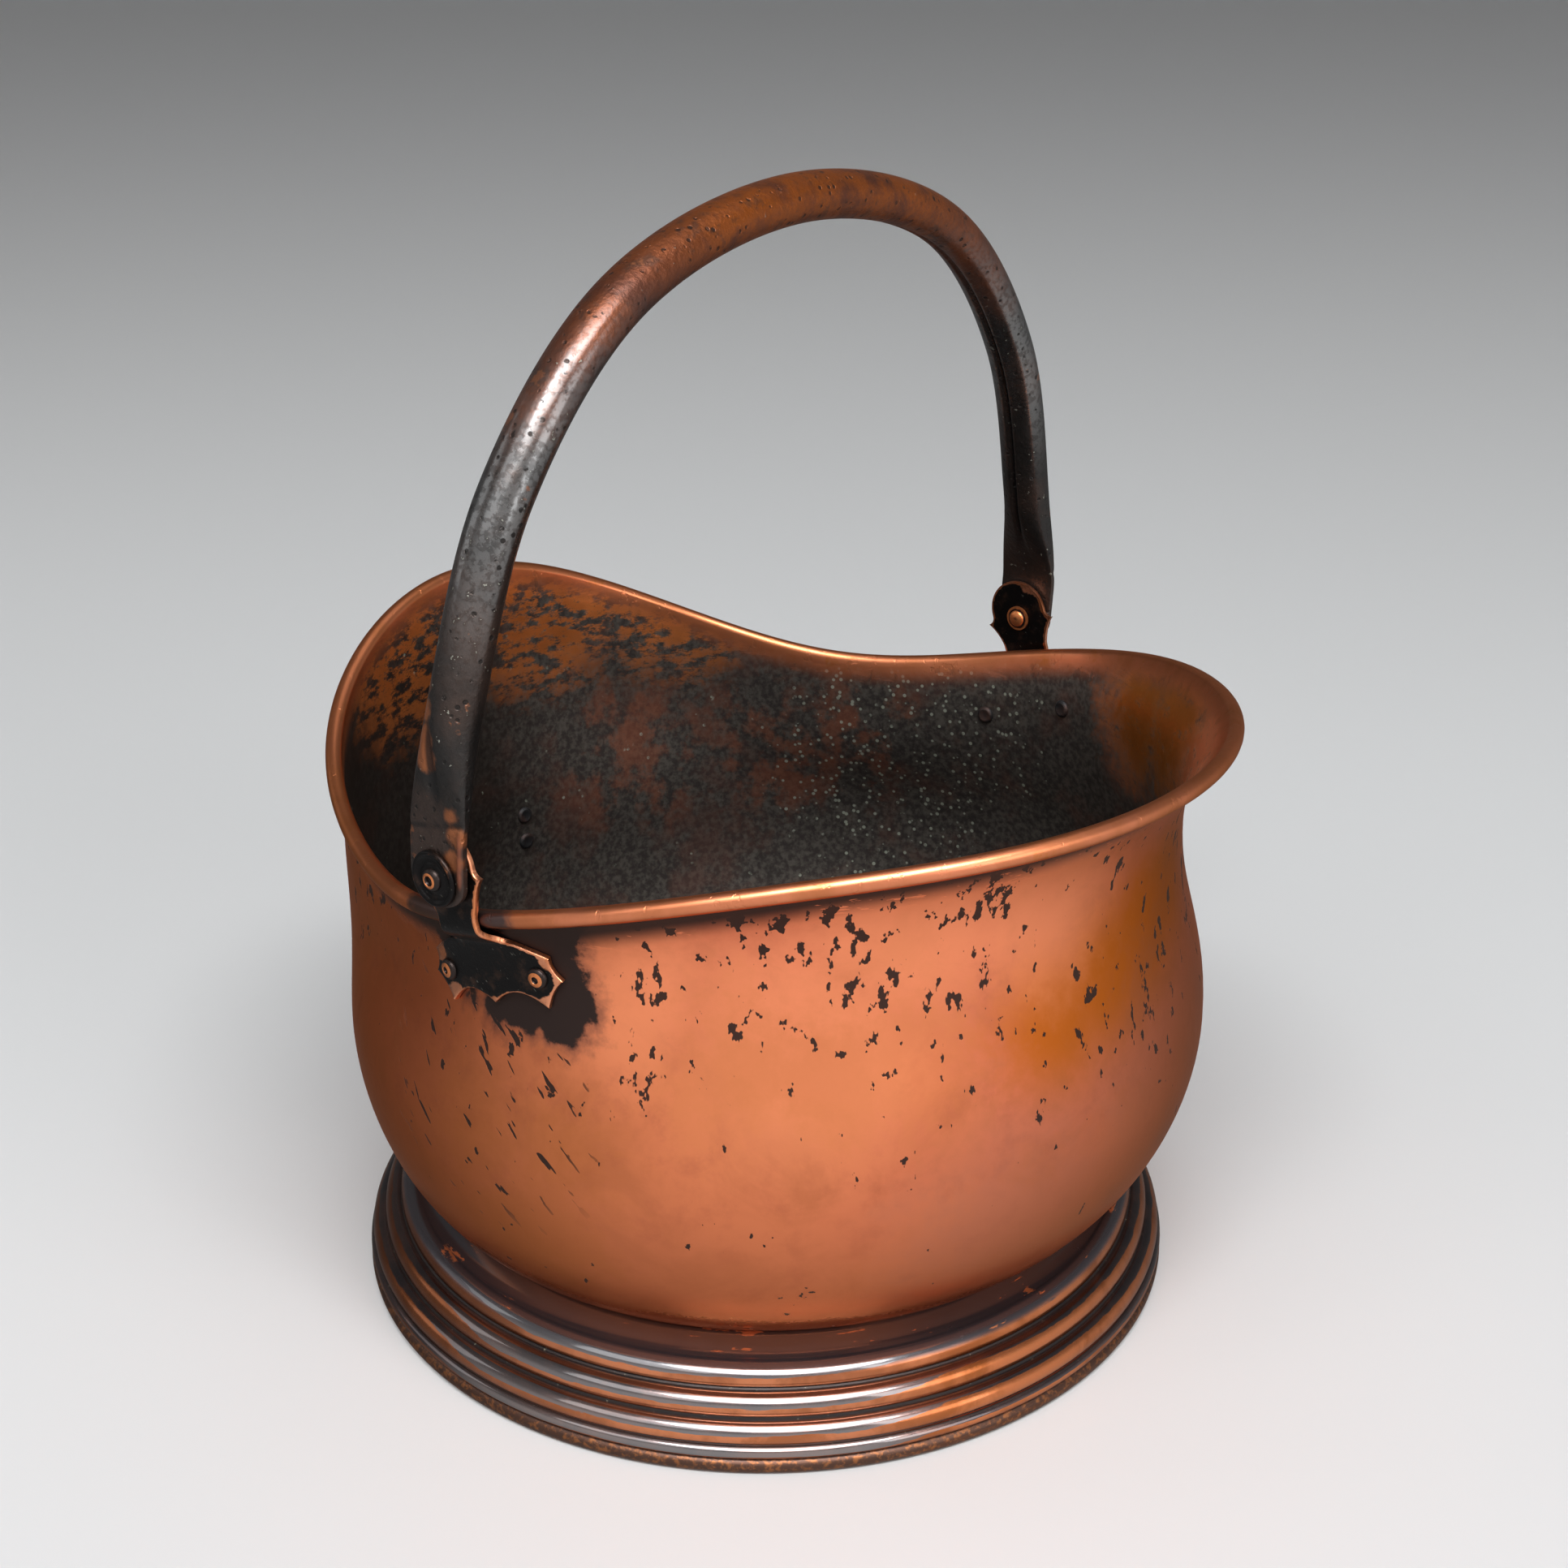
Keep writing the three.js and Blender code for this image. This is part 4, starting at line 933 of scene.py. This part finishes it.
def studs_tree():
    """Sets a copy of one rivet end on each point, facing along the point's own direction."""
    tree, given = new_tree("studs", {"End": "Object"})
    put = functools.partial(add_node, tree)
    end = put("GeometryNodeObjectInfo", None, {"Object": given["End"]}, "Geometry")
    kind = {"data_type": "FLOAT_VECTOR"}
    facing = put("GeometryNodeInputNamedAttribute", kind, {"Name": "facing"})
    turned = put("FunctionNodeAlignRotationToVector", {"axis": "Z"}, {"Vector": facing})
    sockets = {"Points": given["Geometry"], "Instance": end, "Rotation": turned}
    return close_tree(tree, given, put("GeometryNodeInstanceOnPoints", None, sockets))


def dome(radius, height, flat, steps, dimple=0.15):
    """A rivet end's profile: a plain edge, then a low dome with a dimple in its flat top."""
    line = [(AXIS, 0), (radius, 0), (radius, RIVET_EDGE)]
    for t in np.linspace(0, 1, steps)[1:]:
        share = 1 - t * (1 - flat)
        rise = math.sqrt(1 - share**2) / math.sqrt(1 - flat**2)
        line.append((radius * share, RIVET_EDGE + (height - RIVET_EDGE) * rise))
    inner = radius * flat
    low = height - dimple
    return [*line, (inner * 0.8, height - dimple * 0.3), (inner * 0.7, low), (AXIS, low)]


def ringed(line, inside, outside):
    """Which points of a profile lie in a rubbed ring between two radii."""
    return [1 if inside < radius < outside else 0 for radius, _ in line]


def rivet_copper():
    """Copper rivet heads: a bright ring round a black middle, on a dark dome."""
    copper = Finish("rivet_copper", {"Specular IOR Level": 0.5})
    dirt = copper.cloud(520, 4, 0.6)
    rubbed = (copper.attribute("proud") + (dirt - 0.5) * 0.7).step(0.4, 0.7)
    colour = copper.mix(rubbed, (0.026, 0.018, 0.016), (0.55, 0.185, 0.065))
    shape = copper.bump(dirt, 0.4, 0.0004)
    return copper.done(base_color=colour, roughness=0.3 + dirt * 0.15, metallic=0.85, normal=shape)


studs = studs_tree()
head_line = dome(*RIVET_HEAD, flat=0.36, steps=12, dimple=0.7)
rivet_finish = rivet_copper()


def rivet_ends(name, profile, proud, inwards, finish):
    """All the heads, or all the peened ends, as one piece."""
    model = spun(name + "_one", profile, RIVET_STEPS, finish, proud, at=-ORIGIN)
    places, directions = [], []
    for turn, height, plate in rivets:
        out = wall_out(turn, height)
        lift = -SHEET / 2 if inwards else SHEET / 2 + CLEAR + plate
        places.append(placed(wall_point(turn, height) + out * lift))
        directions.append(-out if inwards else out)
    dots = mesh_of(name, places, [], {"facing": directions})
    made = through(name, dots, studs, {"End": model}, finish)
    bpy.data.objects.remove(model)
    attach(made, "scuttle_body")
    return made


heads = rivet_ends("rivet_heads", head_line, ringed(head_line, 1.2, 2.6), False, rivet_finish)
tail_line = dome(*RIVET_TAIL, flat=0.72, steps=6)
rivet_ends("rivet_tails", tail_line, None, True, base.data.materials[0])
wall_rivets = [n for n in frame["nodes"] if n.endswith("_rivet") and "pivot" not in n]
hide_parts(*wall_rivets)


# ---- The pivots ----
# At each ear: a stout rivet through the ear's eye and the bail's flattened end, headed over a
# dished washer with a raised ring outside and closed over a small flat burr inside.
BAIL_SHEET = 1.2
PAD_INSIDE = crest_inside + EAR_SHEET + CLEAR
PAD_THICKNESS = 2 * BAIL_SHEET + 0.4  # the tube beaten nearly shut
WASHER_INSIDE = PAD_INSIDE + PAD_THICKNESS + 0.15
BOSS_SEAT = 1.2  # how deep in the washer the rivet's head sits
BURR_SEAT = 0.1
PIVOT_HEAD = (3.9, 2.0)
WASHER_STEPS = 56
PIVOT_STEPS = 40

washer_line = [(AXIS, 0), (9.1, 0), (9.3, 0.3), (9.3, 1.0), (9.0, 1.5), (8.5, 1.72), (7.9, 1.55)]
washer_line += [(7.45, 1.1), (7.1, 0.8), (6.4, 0.72), (5.6, 0.78), (5.2, 1.0), (4.9, 1.25)]
washer_line += [(AXIS, 1.3)]
washer_proud = [0, 0, 0.1, 0.2, 0.42, 0.52, 0.4, 0.1, 0, 0, 0, 0.2, 0.35, 0]
boss_line = dome(*PIVOT_HEAD, flat=0.48, steps=14, dimple=1)
boss_proud = ringed(boss_line, 1.7, 2.5)
burr_line = [(AXIS, 0), (4.5, 0), (4.9, 0.4), (4.9, 1.2), (3.4, 1.2), (3.2, 1.9), (2.6, 2.4)]
burr_line += [(AXIS, 2.5)]
burr_proud = [0, 0.2, 1, 1, 0.2, 0.7, 1, 0.4]

for side, way in (("right", -1), ("left", 1)):
    outwards, inwards = (Quaternion((1, 0, 0), turn * math.pi / 2) for turn in (-way, way))
    washer_place, boss_place, burr_place = (
        (PIVOT[0], way * away, PIVOT[2])
        for away in (WASHER_INSIDE, WASHER_INSIDE + BOSS_SEAT, eye_inside - BURR_SEAT)
    )
    ring = spun(
        f"{side}_washer", washer_line, WASHER_STEPS, black_finish, washer_proud, outwards,
        washer_place,
    )
    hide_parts(f"{side}_pivot_washer")
    boss = spun(
        f"{side}_boss", boss_line, PIVOT_STEPS, rivet_finish, boss_proud, outwards, boss_place
    )
    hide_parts(f"{side}_pivot_rivet")
    closed_end = spun(
        f"{side}_burr", burr_line, PIVOT_STEPS, rivet_finish, burr_proud, inwards, burr_place
    )
    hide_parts(f"{side}_pivot_burr")
    for part in (ring, boss, closed_end):
        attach(part, "scuttle_body")


# ---- The bail ----
# A tube rolled up from copper sheet with its seam towards the bowl, bent into a tall arch, and
# hammered flat at both ends into the pads that hang on the pivots. Dark brown, polished by hands.
BAIL_RISE = 187
BAIL_TILT = 3.4
BAIL_BEND = ((8.3, 0.3), (29, 0.62), (77.7, 0.895))  # in from the pads, share of the rise
BAIL_WIDTH = 18.4
BAIL_DEPTH = 16
PAD_WIDTH = 23.6
PAD_LENGTH = 9.6
PAD_TOP = 17
TUBE_START = 52
BAIL_RINGS = 421
BAIL_SIDES = 96
SEAM = (0.9, 1.6)  # half width, depth


def rod_path(corners, shares):
    """Points at these shares of a smooth path through corners, with their directions."""
    corners = np.array(corners, float)
    ends = (2 * corners[0] - corners[1], 2 * corners[-1] - corners[-2])
    knots = np.concatenate([[ends[0]], corners, [ends[1]]])
    points = []
    for a, b, c, d in zip(knots, knots[1:], knots[2:], knots[3:]):
        gaps = [np.linalg.norm(q - p) ** 0.5 for p, q in ((a, b), (b, c), (c, d))]
        leave = (b - a) / gaps[0] - (c - a) / (gaps[0] + gaps[1]) + (c - b) / gaps[1]
        reach = (c - b) / gaps[1] - (d - b) / (gaps[1] + gaps[2]) + (d - c) / gaps[2]
        leave, reach = leave * gaps[1], reach * gaps[1]
        t = np.linspace(0, 1, 60, endpoint=False)[:, None]
        square = (3 * (c - b) - 2 * leave - reach) * t**2
        points.append(b + leave * t + square + (2 * (b - c) + leave + reach) * t**3)
    points = np.concatenate([*points, [corners[-1]]])
    length = np.concatenate([[0], np.cumsum(np.linalg.norm(np.diff(points, axis=0), axis=1))])
    run = np.asarray(shares) * length[-1]
    path, after, before = (
        np.stack([np.interp(run + step, length, axis) for axis in points.T], 1)
        for step in (0, 0.5, -0.5)
    )
    along = after - before
    return path, along / np.linalg.norm(along, axis=1)[:, None], run


def section_point(angles, half_width, half_depth, squareness):
    """Points round a section of a rod or a tube, from round (0) to nearly square (1)."""
    power = 1 - 0.7 * squareness
    c, s = np.cos(angles), np.sin(angles)
    return half_width * np.sign(c) * abs(c) ** power, half_depth * np.sign(s) * abs(s) ** power


def tube_faces(rows, columns):
    """The faces of a tube with a cap at each end."""
    caps = [tuple(range(columns))[::-1], tuple(range((rows - 1) * columns, rows * columns))]
    return grid_faces(rows, columns) + caps


def hammered(a, height):
    """How deep the outer face is dented where the tube was beaten flat, at (across, height)."""
    fold = 1.3 * np.exp(-(((a + 1.5 + (height - 33) * 0.12) / 2.0) ** 2))
    fold *= smooth(height, 19, 30) * (1 - smooth(height, 40, 56))
    crease = 0.75 * np.exp(-(((height - 17.5 - a * 0.28) / 1.3) ** 2))
    facet = 0.55 * np.exp(-(((a - 6) / 3.2) ** 2) - ((height - 13.5) / 2.6) ** 2)
    ridge = -0.6 * np.exp(-(((a - 10.6) / 1.3) ** 2)) * (1 - smooth(height, 14, 26))
    return fold + crease + facet + ridge * smooth(height, -4, 4)


def bail(finish):
    """The tube with its slit and hammered ends, drawn upright and then tilted a little."""
    middle = PAD_INSIDE + PAD_THICKNESS / 2
    half = [(middle, -PAD_LENGTH * 0.98), (middle, 0), (middle, 0.65 * PAD_TOP)]
    half.append((middle - 0.2, PAD_TOP))
    half += [(middle - inset, share * BAIL_RISE) for inset, share in BAIL_BEND]
    corners = [(0, -y, z) for y, z in half]
    corners += [(0, 0, BAIL_RISE), *((0, y, z) for y, z in half[::-1])]
    # Rings lie closer towards the ends, where the pads are rounded and dented.
    even = np.linspace(0, 1, BAIL_RINGS)
    shares = even - 0.85 * np.sin(2 * math.pi * even) / (2 * math.pi)
    path, along, _ = rod_path(corners, shares)
    angles = np.linspace(-math.pi / 2, 1.5 * math.pi, BAIL_SIDES, endpoint=False)
    side = np.array((1, 0, 0))
    points, slit, dents = [], [], []
    for at, ahead in zip(path, along):
        flat = 1 - float(smooth(at[2], PAD_TOP, TUBE_START))
        end = min(max(-at[2] / PAD_LENGTH, 0), 0.995)
        width = (BAIL_WIDTH + (PAD_WIDTH - BAIL_WIDTH) * flat) * math.sqrt(1 - end**2)
        depth = BAIL_DEPTH + (PAD_THICKNESS - BAIL_DEPTH) * flat
        a, b = section_point(angles, width / 2, depth / 2, flat)
        seam = np.exp(-((a / SEAM[0]) ** 2)) * (b < 0) * (1 - flat)
        dent = hammered(a, at[2]) * (b > 0) * np.sin(angles).clip(0, 1) ** 0.3
        b = b + seam * SEAM[1] - dent
        points.append(at + np.outer(a, side) + np.outer(b, np.cross(side, ahead)))
        slit.append(seam)
        dents.append(dent)
    x, y, z = np.concatenate(points).T
    c, s = math.cos(math.radians(BAIL_TILT)), math.sin(math.radians(BAIL_TILT))
    points = np.stack([x * c + z * s, y, z * c - x * s], 1) + PIVOT
    faces = tube_faces(len(path), len(angles))
    marks = {"seam": np.concatenate(slit), "dent": np.concatenate(dents)}
    return piece_of("bail_tube", points, faces, finish, marks, 60)


def brown_copper():
    """Near black and pitted down its legs, redder where it is held, bare low on the near leg."""
    gloss = {"Specular IOR Level": 0.3, "Coat Roughness": 0.2, "Coat IOR": 2.0}
    copper = Finish("brown_copper", gloss)
    height = copper.along(2)
    seam = copper.attribute("seam")
    dent = copper.attribute("dent")
    clouds = copper.cloud(24, 5, 0.6, warp=0.3)
    patchy = copper.cloud(80, 4, 0.65)
    fine = copper.cloud(260, 4, 0.6)
    grit = copper.cloud(480, 3, 0.6)
    held = (height + (clouds - 0.5) * 0.07).step(0.325, 0.385)
    ridden = copper.near((18, 10, 400), 45, 50, (patchy - 0.5) * 0.05)
    warm = copper.layers(
        copper.mix(clouds.step(0.35, 0.65), (0.08, 0.024, 0.012), (0.15, 0.04, 0.012)),
        (ridden * patchy.step(0.3, 0.6) * 0.85, (0.27, 0.064, 0.005)),
        ((patchy + fine * 0.5).step(0.8, 0.92) * 0.5, (0.034, 0.02, 0.014)),
    )
    ash = [(14, 152, 330, 22), (12, 158, 290, 16), (9, -158, 285, 12)]
    specks = (grit + clouds * 0.1 + copper.spots(ash, 26) * 0.022).step(0.74, 0.78)
    pits = copper.dots(260, 0.16, 0.26) * (fine + patchy * 0.5).step(0.66, 0.8)
    strip = [(0, -160, 262, 3), (1, -161, 254, 3.4), (2, -161, 247, 3), (-1, -159, 270, 2.5)]
    strip += [(12, -161, 216, 2), (13, -161, 224, 2.4), (11, -162, 230, 1.8)]
    bare = copper.spots(strip, 2.5, (patchy - 0.5) * 0.008)
    bare = bare | (patchy + clouds * 0.3).step(0.8, 0.84) * 0.5
    ridge = dent.step(-0.1, -0.5) * patchy.step(0.3, 0.55)
    colour = copper.layers(
        copper.mix(clouds.step(0.4, 0.65), (0.017, 0.015, 0.014), (0.045, 0.028, 0.022)),
        (held, warm),
        (pits * 0.8, (0.012, 0.01, 0.009)),
        (specks * (1 - held * 0.6) * 0.75, (0.3, 0.3, 0.25)),
        (bare * 0.85, (0.3, 0.1, 0.038)),
        ((seam | dent.step(0.2, 0.9)) * 0.85, (0.008, 0.007, 0.007)),
        (ridge * 0.8, (0.24, 0.075, 0.04)),
    )
    glossy = height.step(0.265, 0.315) - height.step(0.335, 0.385)
    coat = (1 - bare) * (1 - pits) * (glossy * 0.9 + 0.05) * (1 - grit.step(0.45, 0.6) * 0.55)
    waved = copper.bump(clouds + patchy * 0.2, 0.3, 0.0012)
    return copper.done(
        base_color=colour,
        roughness=0.36 + (clouds - 0.5) * 0.16 + fine * 0.14,
        metallic=0.62,
        coat_weight=coat,
        normal=copper.bump(fine * 0.6 + grit + specks * 0.4 - pits, 0.6, 0.0005, waved),
    )


bail_tube = bail(brown_copper())
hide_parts("bail_handle")
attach(bail_tube, "bail")


# ---- The rear grip ----
# A rod bent into a loop, its ends flattened against the back of the bowl and riveted on: the second
# hand holds it to tip the scuttle. Black like the ears, with the rod rubbed brown.
GRIP_ROD = 5.4
GRIP_REACH = 46
GRIP_SPREAD = 34
GRIP_ROUND = 27
GRIP_DROP = 24
GRIP_PAD_WIDTH = 14
GRIP_PAD_LENGTH = 24
GRIP_RINGS = 181
GRIP_SIDES = 36


def grip(finish):
    """The loop and its pads: half of it is worked out, and the other half mirrors it."""
    stand = SHEET / 2 + CLEAR + GRIP_PAD_SHEET / 2
    out = wall_out(-grip_turn, GRIP_HEIGHT)
    on_pad = lambda height: wall_point(-grip_turn, height) + out * stand
    pad = on_pad(GRIP_HEIGHT)
    top = GRIP_PAD_LENGTH / 2
    low = GRIP_HEIGHT - GRIP_DROP
    half = [
        on_pad(GRIP_HEIGHT + top),
        pad,
        on_pad(GRIP_HEIGHT - 0.8 * top),
        on_pad(GRIP_HEIGHT - 1.15 * top) + out * 1.4,
        (pad[0] - 8, -GRIP_PAD_SPREAD - 6, low + 4),
    ]
    for angle in np.radians((0, 34, 64, 90)):
        x = pad[0] - GRIP_REACH + GRIP_ROUND * (1 - math.sin(angle))
        half.append((x, -GRIP_SPREAD * math.cos(angle), low))
    other = [np.array(p) * (1, -1, 1) for p in half[-2::-1]]
    path, along, run = rod_path([*half, *other], np.linspace(0, 1, GRIP_RINGS))
    mid = len(path) // 2
    side = out
    frames = []
    for at, ahead in zip(path[: mid + 1], along):
        side = side - ahead * side.dot(ahead)
        side /= np.linalg.norm(side)
        frames.append((at, side, np.cross(ahead, side)))
    frames += [tuple(v * (1, -1, 1) for v in f) for f in frames[-2::-1]]
    angles = np.linspace(0, 2 * math.pi, GRIP_SIDES, endpoint=False)
    points, proud = [], []
    for i, (at, away, across) in enumerate(frames):
        gone = run[min(i, len(frames) - 1 - i)]
        flat = 1 - float(smooth(gone, GRIP_PAD_LENGTH - 2, GRIP_PAD_LENGTH + 18))
        ends = min(1, 0.55 + gone / 12)
        half_width = (GRIP_ROD + (GRIP_PAD_WIDTH / 2 - GRIP_ROD) * flat) * ends
        half_depth = GRIP_ROD + (GRIP_PAD_SHEET / 2 - GRIP_ROD) * flat
        a, b = section_point(angles, half_width, half_depth, flat)
        points.append(at + np.outer(a, across) + np.outer(b, away))
        proud.append(np.full(len(angles), 0.35 * (1 - flat)))
    faces = tube_faces(len(frames), len(angles))
    marks = {"proud": np.concatenate(proud)}
    return piece_of("rear_grip_rod", np.concatenate(points), faces, finish, marks, 60)


rear_grip = grip(black_finish)
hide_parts("rear_grip")
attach(rear_grip, "scuttle_body")

# ---- The floor and the light ----
# A plain pale floor that runs out of the picture. A wide light, high in front, draws the highlights
# on the foot, and weak ones from above and the sides soften the shade. The metal mirrors a dim room
# instead of the floor: one side of it is bright, and so is one patch overhead.
FLOOR_REACH = 30
LIGHT_COLOUR = (0.965, 0.985, 1.0)
BRIGHT_SIDE = (0.8, -0.6, 0)
BRIGHT_PATCH = (0.371, -0.371, 0.851)
DIM = 0.12  # strength of the room where nothing brightens it
LIGHTS = {  # place and target in metres, size, watts
    "key": ((0.1, -1.5, 1.4), (0, 0, 0.15), (1.3, 1.0), 7),
    "top": ((0.2, 0.1, 1.9), (0, 0, 0.1), (1.6, 1.6), 4),
    "front": ((1.4, -1.4, 3.25), (0, 0, 0.05), (3.1, 0.75), 115),
    "side": ((1.7, -0.2, 0.8), (0, 0, 0.15), (0.9, 0.9), 9),
    "left": ((-1.3, -0.9, 0.8), (0, 0, 0.15), (0.8, 0.8), 2),
}

corners = [(x * FLOOR_REACH, y * FLOOR_REACH, 0) for x, y in ((-1, -1), (1, -1), (1, 1), (-1, 1))]
floor = linked("floor", mesh_of("floor", corners, [(0, 1, 2, 3)], {}))
paper = Finish("paper", {"Base Color": (0.72, 0.72, 0.72, 1), "Roughness": 0.9})
floor.data.materials.append(paper.done())
floor.visible_glossy = False

bpy.context.scene.view_settings.view_transform = "Standard"
world = bpy.data.worlds.new("room")
bpy.context.scene.world = world
world.use_nodes = True
sky = functools.partial(add_node, world.node_tree)
direction = sky("ShaderNodeTexCoord", output="Generated")


def towards(way):
    """How well a direction in the room agrees with this one, from -1 to 1."""
    ways = {0: direction, 1: way}
    return sky("ShaderNodeVectorMath", {"operation": "DOT_PRODUCT"}, ways, "Value")


low_down = 1 - sky("ShaderNodeSeparateXYZ", None, {0: direction}, 2).step(0.1, 0.6) * 0.65
room = towards(BRIGHT_SIDE).step(-0.8, 1.0) * low_down * 1.05 + DIM
room = room + towards(BRIGHT_PATCH).step(0.9, 0.965) * 9
mirrored = sky("ShaderNodeLightPath", output="Is Glossy Ray")
background = world.node_tree.nodes["Background"].inputs
connect(background["Strength"], room * mirrored + (1 - mirrored) * DIM)
connect(background["Color"], (1, 1, 1, 1))

for name, (place, target, size, watts) in LIGHTS.items():
    lamp = bpy.data.lights.new(name, "AREA")
    lamp.shape = "RECTANGLE"
    lamp.size, lamp.size_y = size
    lamp.energy = watts
    lamp.color = LIGHT_COLOUR
    aim(linked(name, lamp), place, target)

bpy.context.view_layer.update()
